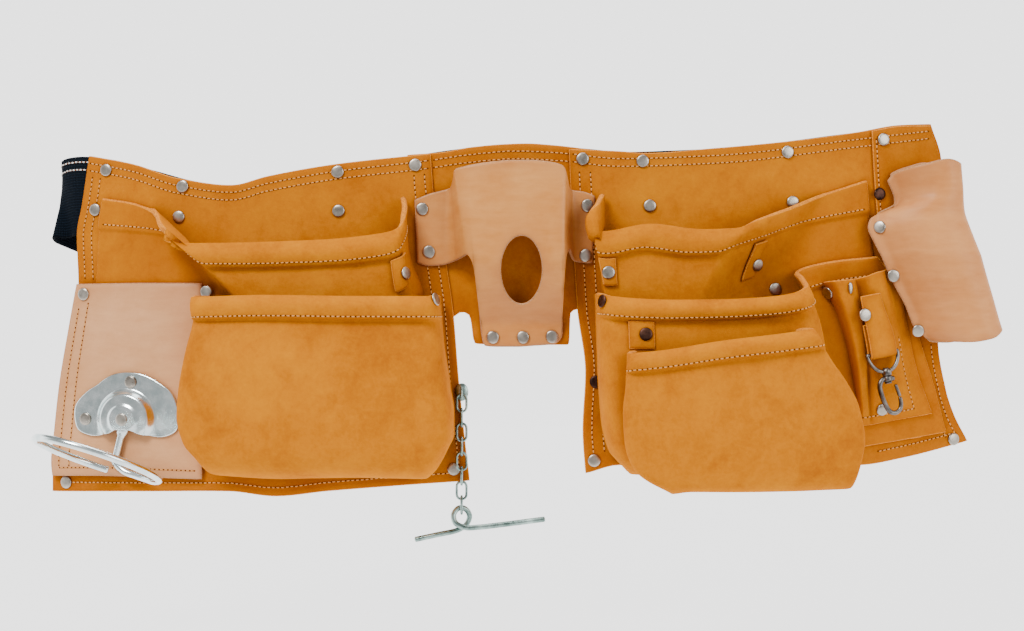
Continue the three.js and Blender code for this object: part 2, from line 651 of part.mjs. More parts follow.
const earLift = panelLift + gap + tanWall;
const tabLift = centreLift + gap + tanWall;
const holderColumns = [
  [-0.217, -0.046, -0.211, -0.22, 0], [-0.182, -0.029, -0.188, -0.228, 0],
  [-0.148, -0.018, -0.155, -0.225, 0], [-0.139, -0.012, -0.131, -0.215, 0.12],
  [-0.132, 0.008, -0.115, -0.207, 0.5], [-0.128, 0.03, -0.101, -0.2, 0.8],
  [-0.12, 0.038, -0.085, -0.235, 0.92], [-0.108, 0.041, -0.077, -0.3, 0.95],
  [-0.09, 0.044, -0.074, -0.4, 0.97], [-0.075, 0.047, -0.06, -0.452, 0.98],
  [-0.04, 0.052, -0.03, -0.455, 1], [0, 0.056, 0.01, -0.455, 1], [0.04, 0.056, 0.05, -0.452, 1],
  [0.08, 0.052, 0.094, -0.447, 0.98], [0.1, 0.047, 0.112, -0.42, 0.97],
  [0.11, 0.043, 0.113, -0.33, 0.95], [0.117, 0.036, 0.112, -0.27, 0.92],
  [0.124, 0.008, 0.121, -0.205, 0.75], [0.129, -0.012, 0.13, -0.185, 0.35],
  [0.136, -0.02, 0.142, -0.215, 0.05], [0.16, -0.024, 0.162, -0.219, 0],
  [0.184, -0.035, 0.179, -0.22, 0],
];
const holderRows = evenShares(9);
const tunnelOut = smooth([[-0.455, 0], [-0.4, 0], [-0.35, 0.3], [-0.28, 0.75], [-0.2, 1], [0.06, 0.95]]);
const tabStep = smooth([[-0.36, 0], [-0.24, 1]]);

function holderPoint([topAcross, topUp, lowAcross, lowUp, out], t) {
  const x = (topAcross + (lowAcross - topAcross) * t) * reach;
  const up = topUp + (lowUp - topUp) * t;
  const base = tabLift + (earLift - tabLift) * tabStep(up);
  return place(x, up * drop, base + holderDepth * out * tunnelOut(up));
}

const holderGrid = holderRows.map((t) => holderColumns.map((column) => holderPoint(column, t)));
const holderSheet = toManifold(wallFromGrid(holderGrid, holderRows.map(() => tanWall)));
const holeCentre = [0.021 * reach, -0.244 * drop];
const holeHalf = [14.2, 23.2];
const holeCut = pinHole(1, 120);
holeCut.scale(holeHalf[0], 1, holeHalf[1]);
holeCut.translate(holeCentre[0], 0, holeCentre[1]);
add('centre_holder', fromManifold(holderSheet.subtract(toManifold(holeCut))), 'tan');

// Holster: one leather strip rolled into a tube, its front flap riveted over its back layer

const holsterEdges = [
  [[0.85, 0.015], [0.862, 0.035], [0.904, 0.057], [0.945, 0.069], [0.975, 0.061], [0.99, 0.044]],
  [[0.99, 0.044], [0.991, 0.015], [0.997, -0.051], [1.011, -0.124], [1.036, -0.238], [1.059, -0.333],
    [1.075, -0.4]],
  [[0.925, -0.43], [0.948, -0.443], [0.983, -0.445], [1.035, -0.432], [1.075, -0.4]],
  [[0.85, 0.015], [0.866, -0.04], [0.862, -0.062], [0.81, -0.09], [0.8, -0.12], [0.812, -0.164],
    [0.835, -0.232], [0.857, -0.289], [0.88, -0.34], [0.904, -0.408], [0.925, -0.43]],
];
const holsterSections = [
  [0, 0, 1], [0.08, 0.03, 1], [0.18, 0.25, 1], [0.32, 0.6, 1], [0.5, 0.88, 1], [0.7, 1, 1],
  [0.86, 0.95, 1], [0.96, 0.75, 0.9], [1, 0.5, 0.6], [0.985, 0.22, 0.3], [0.9, 0.04, 0],
  [0.7, 0, 0], [0.4, 0, 0], [0.12, 0, 0],
];
const holsterRows = [0, 0.06, 0.14, 0.22, 0.3, 0.45, 0.65, 0.85, 1];
const holsterBack = smooth([[-0.2, onSleeveFoot + hemExtra + 3 * gap], [-0.08, onPanel + gap]]);
const holsterCut = patchBetween(holsterEdges.map(edge));
const flapLift = tanWall + gap + tanWall;

const holsterGrid = holsterRows.map((t) => holsterSections.map(([along, out, front]) => {
  const [x, z] = holsterCut(along, t);
  return place(x, z, holsterBack(z / drop) + flapLift * front + holsterDepth * out);
}));
add('holster', wallFromGrid(holsterGrid, holsterRows.map(() => tanWall)), 'tan');

// Belt

const bandUp = smooth([
  [-0.976, 0.092], [-0.868, 0.064], [-0.761, 0.021], [-0.634, -0.001], [-0.551, 0.023], [-0.399, 0.055],
  [-0.205, 0.083], [-0.095, 0.103], [0.01, 0.113], [0.095, 0.109], [0.244, 0.091], [0.458, 0.101],
  [0.79, 0.154], [0.964, 0.184],
]);
const frontStations = evenShares(20).map((share) => -1.015 + 1.95 * share);
const backStations = [
  [0.962, 0.345, 0.28], [0.975, 0.4, 0.27], [0.965, 0.46, 0.26], [0.93, 0.52, 0.25], [0.8, 0.64, 0.17],
  [0.6, 0.79, 0], [0.4, 0.9, -0.2], [0.25, 0.96, -0.38], [0.13, 1, -0.48], [0, 1, -0.5],
  [-0.13, 1, -0.5], [-0.25, 0.97, -0.53], [-0.4, 0.92, -0.6], [-0.6, 0.83, -0.72], [-0.78, 0.74, -0.7],
  [-0.92, 0.65, -0.52], [-1, 0.61, -0.33], [-1.05, 0.57, -0.21], [-1.07, 0.52, -0.15],
  [-1.055, 0.465, -0.12],
];
const beltLine = [
  ...frontStations.map((across) => {
    const top = bandUp(across) * drop;
    return place(across * reach, top - webHeight / 2, webWall);
  }),
  ...backStations.map(([across, back, up]) => (
    new THREE.Vector3(across * reach, back * loopDepth, up * webHeight))),
];
const beltRise = beltLine.map((point, i) => {
  if (i > 0 && i < frontStations.length - 1) return upright.clone();
  const ahead = beltLine[(i + 1) % beltLine.length];
  const behind = beltLine[(i + beltLine.length - 1) % beltLine.length];
  const run = new THREE.Vector3().subVectors(ahead, behind).normalize();
  return upright.clone().addScaledVector(run, -run.z).normalize();
});
const beltGrid = [0.5, -0.5].map((share) => (
  beltLine.map((point, i) => point.clone().addScaledVector(beltRise[i], share * webHeight))));
add('web_belt', wallFromGrid(beltGrid, [webWall, webWall], true), 'webbing');

// Buckle: a plain slide that closes the belt behind the wearer
const slotRoom = 1.2;
const slotHeight = webHeight + 2 * slotRoom;
const slotThick = webWall + 2 * slotRoom;
const buckleBox = new THREE.BoxGeometry(buckleWidth, slotThick + buckleThick, slotHeight + 2 * buckleFrame);
const slotBox = new THREE.BoxGeometry(buckleWidth * 2, slotThick, slotHeight);
const buckleSolid = toManifold(buckleBox).subtract(toManifold(slotBox));
const buckle = add('belt_buckle', fromManifold(buckleSolid), 'black_plastic');
buckle.position.set(0, loopDepth - webWall / 2, -0.5 * webHeight);

// A closed ring of wire along a flat loop of points, which lies square to `axis`.
function wireRing(points, wire, sides, axis) {
  const count = points.length;
  const grid = points.map((point, i) => {
    const run = points[(i + 1) % count].clone().sub(points[(i + count - 1) % count]).normalize();
    const side = new THREE.Vector3().crossVectors(run, axis).normalize();
    return Array.from({ length: sides }, (unused, k) => {
      const turn = (2 * Math.PI * k) / sides;
      return point.clone()
        .addScaledVector(side, Math.cos(turn) * wire / 2)
        .addScaledVector(axis, Math.sin(turn) * wire / 2);
    });
  });
  const positions = grid.flat().flatMap((point) => [point.x, point.y, point.z]);
  const indices = [];
  for (let i = 0; i < count; i += 1) {
    for (let k = 0; k < sides; k += 1) {
      const [a, b] = [i * sides + k, i * sides + ((k + 1) % sides)];
      const [c, d] = [((i + 1) % count) * sides + k, ((i + 1) % count) * sides + ((k + 1) % sides)];
      indices.push(a, d, b, a, c, d);
    }
  }
  const geometry = new THREE.BufferGeometry();
  geometry.setAttribute('position', new THREE.Float32BufferAttribute(positions, 3));
  geometry.setIndex(indices);
  geometry.computeVertexNormals();
  return geometry;
}

// Snap hook on a folded strap

const snapSite = new THREE.Group();
stand(snapSite, 0.815 * reach, -0.475 * drop, onSleeveFoot + sleeveDepth + gap);
apron.add(snapSite);

const foldInner = eyeWire / 2 + gap;
const foldOuter = foldInner + strapWall;
const strapSlant = 10;
const strapBackDrop = 0.5;

function strapProfile() {
  const shape = new THREE.Shape();
  shape.moveTo(-foldOuter, strapDrop);
  shape.absarc(0, 0, foldOuter, Math.PI, 2 * Math.PI, false);
  shape.lineTo(foldOuter, strapDrop * strapBackDrop);
  shape.lineTo(foldInner, strapDrop * strapBackDrop);
  shape.absarc(0, 0, foldInner, 2 * Math.PI, Math.PI, true);
  shape.lineTo(-foldInner, strapDrop);
  shape.closePath();
  return shape;
}

const strapGeometry = new THREE.ExtrudeGeometry(strapProfile(), {
  depth: strapWidth, bevelEnabled: false, curveSegments: 6,
});
strapGeometry.translate(0, 0, -strapWidth / 2);
strapGeometry.rotateZ(Math.PI / 2);
strapGeometry.rotateY(Math.PI / 2);
strapGeometry.rotateZ(Math.PI);
const snap = new THREE.Group();
snap.position.y = -foldOuter;
snap.rotation.y = -strapSlant * degrees;
snapSite.add(snap);
add('hook_strap', strapGeometry, 'suede', snap);

// The eye's bar lies in the fold. Its bow leans out a little, so that the hook hangs clear of the sleeve.
const eyeLean = 8;
const bossDrop = eyeDrop * Math.cos(eyeLean * degrees);
const bossOut = eyeDrop * Math.sin(eyeLean * degrees);
const bowAxis = new THREE.Vector3(0, Math.cos(eyeLean * degrees), -Math.sin(eyeLean * degrees));
const bowShares = evenShares(8).map((share) => [-Math.cos(Math.PI * share), -Math.sin(Math.PI * share)]);
const bowPoints = [...bowShares, [0.5, 0], [-0.5, 0]].map(([across, up]) => {
  const down = up * eyeDrop;
  const x = across * (eyeWidth - eyeWire) / 2;
  return new THREE.Vector3(x, down * Math.sin(eyeLean * degrees), down * Math.cos(eyeLean * degrees));
});
const bow = toManifold(wireRing(bowPoints, eyeWire, 6, bowAxis));
const pinRadius = 1.3;
const pinRoom = 0.35;
const collarLength = 3.4;
const headLength = 1.4;
const pinProfile = [
  [0, eyeWire], [bossRadius * 0.75, eyeWire], [bossRadius, 0.2], [bossRadius, -bossLength / 2],
  [pinRadius, -bossLength / 2], [pinRadius, -bossLength / 2 - collarLength - 2 * pinRoom],
  [bossRadius * 0.75, -bossLength / 2 - collarLength - 2 * pinRoom],
  [bossRadius * 0.75, -bossLength / 2 - collarLength - 2 * pinRoom - headLength],
  [0, -bossLength / 2 - collarLength - 2 * pinRoom - headLength],
];
const pin = turned(pinProfile, 9);
pin.rotateX(Math.PI / 2);
pin.translate(0, -bossOut, -bossDrop);
add('hook_eye', fromManifold(bow.add(toManifold(pin))), 'gunmetal', snap);

// Hook, hanging from the pin by its collar
const hook = new THREE.Group();
hook.position.set(0, -bossOut, -bossDrop - bossLength / 2 - pinRoom - collarLength);
snap.add(hook);

const hookShares = [
  [0.3, -0.01], [0, 0.02], [-0.3, 0], [-0.47, -0.14], [-0.46, -0.4], [-0.34, -0.7], [-0.16, -0.93],
  [0.12, -1], [0.4, -0.92], [0.5, -0.74], [0.49, -0.6],
];
const hookPath = route(hookShares.map(([across, down]) => [
  across * hookWidth, 0, hookWire * 0.35 + down * hookLength * 0.84,
]));
const collar = new THREE.CylinderGeometry(bossRadius, bossRadius * 1.15, collarLength, 12);
collar.rotateX(Math.PI / 2);
collar.translate(0, 0, collarLength / 2);
const pinSleeve = new THREE.CylinderGeometry(pinRadius + pinRoom, pinRadius + pinRoom, 30, 12);
pinSleeve.rotateX(Math.PI / 2);
const headRoom = new THREE.CylinderGeometry(bossRadius * 0.75 + pinRoom, bossRadius * 0.75 + pinRoom, 12, 12);
headRoom.rotateX(Math.PI / 2);
headRoom.translate(0, 0, -6);
const hookSolid = toManifold(rod(hookPath, hookWire, 6, 22)).add(toManifold(collar))
  .subtract(toManifold(pinSleeve)).subtract(toManifold(headRoom));
add('snap_hook', fromManifold(hookSolid), 'gunmetal', hook);

// Gate, from under the collar down to the hook's tip
const gateTop = new THREE.Vector3(0.36 * hookWidth, 0, -0.12 * hookLength);
const gateTip = new THREE.Vector3(0.49 * hookWidth, 0, -0.43 * hookLength);
const gateRun = new THREE.Vector3().subVectors(gateTip, gateTop);
const gateGeometry = new THREE.CylinderGeometry(gateWire / 2, gateWire / 2, gateRun.length(), 8);
const gate = add('snap_gate', gateGeometry, 'gunmetal', hook);
gate.position.copy(gateTop).addScaledVector(gateRun, 0.5);
gate.quaternion.setFromUnitVectors(new THREE.Vector3(0, 1, 0), gateRun.clone().normalize());

// Chain with its staple and T-bar

const chainSite = new THREE.Group();
const chainTop = [-0.113 * reach, -0.585 * drop];
stand(chainSite, chainTop[0], chainTop[1], panelLift);
apron.add(chainSite);

const linkPitch = linkLength - 2 * linkWire - gap;
const linkBend = (linkWidth - linkWire) / 2;
const linkStraight = (linkLength - linkWidth) / 2;
const chainLift = linkWidth / 2 + 0.8;

function linkPoints() {
  return Array.from({ length: 12 }, (unused, i) => {
    const turn = ((i + 0.5) / 12) * 2 * Math.PI;
    const z = Math.sin(turn) * linkBend + Math.sign(Math.sin(turn)) * linkStraight;
    return new THREE.Vector3(Math.cos(turn) * linkBend, 0, z);
  });
}

const stapleRing = Array.from({ length: 10 }, (unused, i) => {
  const turn = (i / 10) * 2 * Math.PI;
  return new THREE.Vector3(0, -chainLift + Math.cos(turn) * linkBend, Math.sin(turn) * linkBend);
});
const staplePlate = new THREE.BoxGeometry(9, 1.4, 12);
staplePlate.translate(0, -gap - 0.7, 0);
const stapleSolid = toManifold(wireRing(stapleRing, linkWire, 6, new THREE.Vector3(1, 0, 0)))
  .add(toManifold(staplePlate));
add('chain_staple', fromManifold(stapleSolid), 'zinc', chainSite);

const firstLink = -linkBend + linkWire + gap - (linkLength - linkWire) / 2;
for (let i = 0; i < linkCount; i += 1) {
  const link = add(`chain_link_${String(i + 1).padStart(2, '0')}`,
    wireRing(linkPoints(), linkWire, 5, new THREE.Vector3(0, 1, 0)), 'zinc', chainSite);
  link.rotation.z = i % 2 === 0 ? 0 : Math.PI / 2;
  link.position.set(0, -chainLift, firstLink - i * linkPitch);
}

// T-bar: one wire with a twisted eye in its middle, round the last link
const barShares = [
  [-0.35, 0, -0.185], [-0.19, 0, -0.15], [-0.03, -0.012, -0.115], [0.035, -0.03, -0.075],
  [0.06, -0.028, -0.01], [0.03, -0.012, 0.045], [-0.02, 0, 0.055], [-0.06, 0.014, 0.01],
  [-0.045, 0.03, -0.055], [0.03, 0.032, -0.09], [0.12, 0.02, -0.09], [0.32, 0.005, -0.07],
  [0.63, 0, -0.031],
];
const barEyeTop = 0.055 * barSpan;
const barPath = route(barShares.map(([across, out, up]) => [across * barSpan, -out * barSpan, up * barSpan]));
const bar = add('t_bar', rod(barPath, barWire, 6, 40), 'zinc', chainSite);
const lastLinkFoot = firstLink - (linkCount - 1) * linkPitch - linkLength / 2;
bar.position.set(0, -chainLift, lastLinkFoot + 1.5 * linkWire + barWire / 2 - barEyeTop + gap);

// Cap rivets

const caps = [
  ['band_rivet_1', -0.933, 0.051, panelLift], ['band_rivet_2', -0.748, -0.001, panelLift],
  ['band_rivet_3', -0.392, 0.035, panelLift], ['band_rivet_4', -0.218, 0.054, panelLift],
  ['band_rivet_5', 0.159, 0.071, panelLift], ['band_rivet_6', 0.294, 0.065, panelLift],
  ['band_rivet_7', 0.622, 0.094, panelLift], ['band_rivet_8', 0.845, 0.135, onPanel],
  ['panel_rivet_1', -0.96, -0.063, panelLift], ['panel_rivet_2', -0.757, -0.088, panelLift],
  ['panel_rivet_3', -0.39, -0.075, panelLift], ['panel_rivet_4', 0.31, -0.061, panelLift],
  ['panel_rivet_5', 0.634, -0.048, panelLift], ['corner_rivet_left', -1.033, -0.856, panelLift],
  ['corner_rivet_right', 1.022, -0.73, panelLift], ['patch_rivet', -0.98, -0.308, onPatch],
  ['plate_rivet_top', -0.862, -0.56, onPatch + gap + plateWall],
  ['plate_rivet_side', -0.972, -0.668, onPatch + gap + plateWall],
  ['tab_rivet_left', -0.043, -0.431, tabLift], ['tab_rivet_middle', 0.025, -0.431, tabLift],
  ['tab_rivet_right', 0.09, -0.429, tabLift],
];

function capGeometry() {
  return turned([[0, 0], [capRadius, 0], [capRadius * 0.7, -capHeight * 0.8], [0, -capHeight]]);
}

for (const [name, across, up, lift] of caps) {
  stand(add(name, capGeometry(), 'nickel'), across * reach, up * drop, lift + gap);
}

export default apron;
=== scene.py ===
import math

import bpy
import numpy as np
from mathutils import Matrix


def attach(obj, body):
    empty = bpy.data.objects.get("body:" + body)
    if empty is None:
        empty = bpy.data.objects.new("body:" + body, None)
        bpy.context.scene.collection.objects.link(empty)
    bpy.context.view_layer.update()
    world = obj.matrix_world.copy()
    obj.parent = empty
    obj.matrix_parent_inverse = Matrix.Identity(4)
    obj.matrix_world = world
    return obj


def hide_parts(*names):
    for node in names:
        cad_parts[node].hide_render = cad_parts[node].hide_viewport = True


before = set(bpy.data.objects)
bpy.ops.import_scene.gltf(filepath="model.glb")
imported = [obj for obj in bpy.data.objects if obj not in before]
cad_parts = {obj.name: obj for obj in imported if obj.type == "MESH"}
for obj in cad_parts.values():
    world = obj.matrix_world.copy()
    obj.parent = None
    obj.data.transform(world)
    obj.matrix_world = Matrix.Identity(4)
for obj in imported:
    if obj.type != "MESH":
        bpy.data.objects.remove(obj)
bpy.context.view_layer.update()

# Sizes in millimetres, the same as in the source
reach = 300.0
drop = 240.0
flat_half = 80.0
wrap_back = 36.0
gap = 0.3
suede_wall = 1.8
tan_wall = 2.2
hem_extra = 1.9
hem_share = 0.12
hem_roll = 3.0
web_wall = 2.0
web_height = 54.0
loop_depth = 96.0
normal_rounds = 3
METRE = 0.001
DEGREE = math.pi / 180

centre_lift = web_wall + gap + suede_wall
panel_lift = centre_lift + gap + suede_wall
on_panel = panel_lift + gap + suede_wall
on_pocket_flap = on_panel + gap + suede_wall
on_patch = on_panel + gap + tan_wall
left_rear_depth = 28.0
left_front_depth = 50.0
right_rear_depth = 25.0
right_middle_depth = 48.0
right_front_depth = 22.0
middle_face_fall = 2.4
on_middle_face = on_pocket_flap + right_middle_depth - middle_face_fall + gap + suede_wall


# Tables

def between(values, slopes, i, t, h):
    """A smooth way from value i to the next one, a share t along the length h."""
    u = 1 - t
    ends = values[i] * (1 + 2 * t) * u * u + values[i + 1] * t * t * (3 - 2 * t)
    return ends + h * t * u * (slopes[i] * u - slopes[i + 1] * t)


def smooth(rows):
    """A smooth run through rows of (share, value) that never overshoots them."""
    xs = np.array([row[0] for row in rows], float)
    ys = np.array([row[1] for row in rows], float)
    slopes = np.diff(ys) / np.maximum(np.diff(xs), 1e-9)
    tangents = np.zeros_like(xs)
    tangents[0], tangents[-1] = slopes[0], slopes[-1]
    for i in range(1, len(xs) - 1):
        before, after = slopes[i - 1], slopes[i]
        if before * after > 0:
            tangents[i] = 2 * before * after / (before + after)

    def value(x):
        x = np.clip(np.asarray(x, float), xs[0], xs[-1])
        i = np.clip(np.searchsorted(xs, x, side="left") - 1, 0, len(xs) - 2)
        h = xs[i + 1] - xs[i]
        return between(ys, tangents, i, (x - xs[i]) / h, h)

    return value


def edge(rows):
    """An edge through rows of (across, up), shares of reach and drop, or of (along, across, up)."""
    points = np.array([row[-2:] for row in rows], float) * (reach, drop)
    if len(rows[0]) == 2:
        steps = np.hypot(*np.diff(points, axis=0).T)
        along = np.concatenate([[0], np.cumsum(steps)]) / steps.sum()
    else:
        along = np.array([row[0] for row in rows], float)
    across = smooth(list(zip(along, points[:, 0])))
    up = smooth(list(zip(along, points[:, 1])))
    return lambda share: np.stack([across(share), up(share)], axis=-1)


def patch_between(edges, hurry=1):
    """The flat cut of a piece between its four edges, as a function of s across and t down."""
    top, right, bottom, left = [edge(rows) for rows in edges]
    tl, tr, bl, br = top(0), top(1), bottom(0), bottom(1)

    def cut(s, t):
        s, t = np.broadcast_arrays(np.asarray(s, float), np.asarray(t, float))
        low = np.stack([1 - (1 - np.clip(t, 0, 1)) ** hurry, t], axis=-1)
        s2 = s[..., None]
        ruled = (1 - low) * top(s) + low * bottom(s) + (1 - s2) * left(t) + s2 * right(t)
        upper = (1 - s2) * tl + s2 * tr
        lower = (1 - s2) * bl + s2 * br
        return ruled - (1 - low) * upper - low * lower

    return cut


# Surfaces

def bend(x):
    past = np.maximum(0, np.abs(x) - flat_half) / (reach - flat_half)
    return wrap_back * past * past


def bend_slope(x):
    past = np.maximum(0, np.abs(x) - flat_half) / (reach - flat_half)
    return np.sign(x) * 2 * wrap_back * past / (reach - flat_half)


def place(x, z, lift):
    """Points that stand `lift` in front of the belt's back face, which wraps back at both ends."""
    x, z, lift = np.broadcast_arrays(np.asarray(x, float), z, lift)
    slope = bend_slope(x)
    length = np.hypot(1, slope)
    return np.stack([x + lift * slope / length, bend(x) - lift / length, z], axis=-1)


def unit(v):
    return v / np.maximum(np.linalg.norm(v, axis=-1, keepdims=True), 1e-12)


def grid_normals(grid, around=False):
    """The outward normals of a grid whose rows go down and whose columns go to the right."""
    if around:
        across = np.roll(grid, -1, axis=1) - np.roll(grid, 1, axis=1)
    else:
        across = np.gradient(grid, axis=1)
    down = np.gradient(grid, axis=0)
    normals = np.cross(down, across)
    for _ in range(normal_rounds):
        columns = np.pad(normals, ((0, 0), (1, 1), (0, 0)), mode="wrap" if around else "edge")
        rows = np.pad(normals, ((1, 1), (0, 0), (0, 0)), mode="edge")
        normals = 2 * normals + columns[:, :-2] + columns[:, 2:] + rows[:-2] + rows[2:]
    return unit(normals)


# Pieces made of a wall with rounded rims

def make_object(name, points, faces, materials, picks=None):
    mesh = bpy.data.meshes.new(name)
    mesh.from_pydata((np.asarray(points) * METRE).tolist(), [], faces)
    mesh.update()
    for material in materials:
        mesh.materials.append(material)
    if picks is not None:
        mesh.polygons.foreach_set("material_index", np.asarray(picks, dtype=np.int32))
    mesh.polygons.foreach_set("use_smooth", np.ones(len(mesh.polygons), dtype=bool))
    piece = bpy.data.objects.new(name, mesh)
    bpy.context.scene.collection.objects.link(piece)
    return piece


def set_values(piece, name, values):
    """A number for each point of the mesh, which its material reads."""
    attribute = piece.data.attributes.new(name, "FLOAT", "POINT")
    attribute.data.foreach_set("value", np.asarray(values, dtype=np.float32))


def wall(name, grid, thick, materials, body="apron", around=False, keep=None, marks=None, rim=0.35):
    """A closed wall behind a grid of outer points. Its cut edges are rounded and have their own material.
    keep says which cells of the grid are there, and marks are numbers by name for each point."""
    rows, columns = grid.shape[:2]
    count = rows * columns
    normals = grid_normals(grid, around).reshape(-1, 3)
    thick = np.broadcast_to(np.asarray(thick, float), (rows, columns)).reshape(-1, 1)
    front = grid.reshape(-1, 3)
    back = front - normals * thick
    index = np.arange(count).reshape(rows, columns)
    if around:
        index = np.concatenate([index, index[:, :1]], axis=1)
    quads = np.stack([index[:-1, :-1], index[1:, :-1], index[1:, 1:], index[:-1, 1:]], axis=-1)
    quads = quads[keep] if keep is not None else quads.reshape(-1, 4)
    starts = quads.ravel()
    ends = np.roll(quads, -1, axis=1).ravel()
    open_edge = ~np.isin(starts * count + ends, ends * count + starts)
    starts, ends = starts[open_edge], ends[open_edge]
    out = unit(np.cross(front[ends] - front[starts], normals[starts]))
    push = np.zeros_like(front)
    np.add.at(push, starts, out)
    np.add.at(push, ends, out)
    rims = np.unique(starts)
    rim_at = np.zeros(count, int)
    rim_at[rims] = 2 * count + np.arange(len(rims))
    edge_points = (front[rims] + back[rims]) / 2 + unit(push[rims]) * thick[rims] * rim
    points = np.concatenate([front, back, edge_points])
    sides = np.stack([ends, starts, rim_at[starts], rim_at[ends]], axis=-1)
    under = np.stack([rim_at[ends], rim_at[starts], starts + count, ends + count], axis=-1)
    faces = np.concatenate([quads, quads[:, ::-1] + count, sides, under])
    picks = np.concatenate([np.zeros(2 * len(quads)), np.ones(2 * len(sides))])
    used = np.unique(faces)
    fresh = np.zeros(len(points), int)
    fresh[used] = np.arange(len(used))
    piece = make_object(name, points[used], fresh[faces].tolist(), materials, picks)
    for key, values in (marks or {}).items():
        flat = np.broadcast_to(values, (rows, columns)).ravel()
        set_values(piece, key, np.concatenate([flat, flat, flat[rims]])[used])
    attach(piece, body)
    return piece


def share_steps(values, pitch):
    """Places along an index so that neighbours lie about a pitch apart. values are lengths between rows."""
    steps = []
    for i, length in enumerate(values):
        n = max(1, int(math.ceil(length / pitch)))
        steps += [i + k / n for k in range(n)]
    return np.array(steps + [float(len(values))])


def ease(x):
    x = np.clip(x, 0, 1)
    return x * x * (3 - 2 * x)


def lattice(seed, count=64):
    return np.random.default_rng(seed).uniform(-1, 1, (count, count))


def soft_noise(u, v, seed):
    """Smooth noise in about -1 to 1 over two lengths measured in cells."""
    table = lattice(seed)
    n = len(table)
    u, v = np.broadcast_arrays(np.asarray(u, float), np.asarray(v, float))
    i, j = np.floor(u).astype(int), np.floor(v).astype(int)
    a, b = ease(u - i), ease(v - j)
    i, j = i % n, j % n
    i1, j1 = (i + 1) % n, (j + 1) % n
    low = table[i, j] * (1 - a) + table[i1, j] * a
    high = table[i, j1] * (1 - a) + table[i1, j1] * a
    return low * (1 - b) + high * b


# Flat pieces

def flat_grid(edges, lift, pitch=3.0):
    """A grid on the wrapped sheet. lift is a number or a function of s and t."""
    cut = patch_between(edges)
    s = np.linspace(0, 1, 60)
    wide = np.linalg.norm(np.diff(cut(s, 0.5), axis=0), axis=1).sum()
    tall = np.linalg.norm(np.diff(cut(0.5, s), axis=0), axis=1).sum()
    s = np.linspace(0, 1, max(4, int(wide / pitch)) + 1)[None, :]
    t = np.linspace(0, 1, max(4, int(tall / pitch)) + 1)[:, None]
    flat = cut(s, t)
    return place(flat[..., 0], flat[..., 1], lift(s, t) if callable(lift) else lift)


def rim_shade(grid, reach_in=5):
    """Painted shade: darker near a piece's rims."""
    rows, columns = grid.shape[:2]
    j = np.minimum(np.arange(rows), np.arange(rows)[::-1])[:, None]
    i = np.minimum(np.arange(columns), np.arange(columns)[::-1])[None, :]
    return np.exp(-np.minimum(i, j) / reach_in)


# Sewn bags

def bag_surface(bag):
    """A function of column and row index, as in the bag's own tables, that gives points of its face."""
    cut = patch_between(bag["edges"], bag.get("hurry", 1))
    across = [smooth([(i, row[k]) for i, row in enumerate(bag["across"])]) for k in range(3)]
    down = [smooth([(i, row[k]) for i, row in enumerate(bag["down"])]) for k in range(3)]

    def fill(x):
        x = np.clip(2 * x, 0, 1)
        return x * (2 - x) * 0.5 + x * 0.5

    def face(column, row, swell=0.0):
        column, row = np.broadcast_arrays(np.asarray(column, float), np.asarray(row, float))
        along, foot, out = [f(column) for f in across]
        sink, low_foot, low_out = [f(row) for f in down]
        s = foot + (along - foot) * fill(low_out)
        t = low_foot + (sink - low_foot) * fill(out)
        flat = cut(s, t)
        hem = hem_extra * (1 - ease((sink - hem_share + 0.008) / 0.012))
        roll = hem_roll * np.sin(math.pi * np.clip(sink / hem_share, 0, 1)) * np.clip(out, 0, 1)
        lift = bag["lift"] + hem + roll + (bag["depth"] + swell) * out * low_out
        return place(flat[..., 0], flat[..., 1], lift), hem, out * low_out

    return face


def bag_steps(bag, pitch):
    face = bag_surface(bag)
    columns, rows = len(bag["across"]), len(bag["down"])
    grid, _, _ = face(np.arange(columns)[None, :], np.arange(rows)[:, None])
    wide = np.linalg.norm(np.diff(grid, axis=1), axis=-1).max(axis=0)
    tall = np.linalg.norm(np.diff(grid, axis=0), axis=-1).max(axis=1)
    return share_steps(wide, pitch), share_steps(tall, pitch)


# Materials

def colour(tone):
    """An sRGB tone of 0 to 255 as a shader colour."""
    parts = [v / 255 for v in tone]
    return (*[v / 12.92 if v <= 0.04045 else ((v + 0.055) / 1.055) ** 2.4 for v in parts], 1)


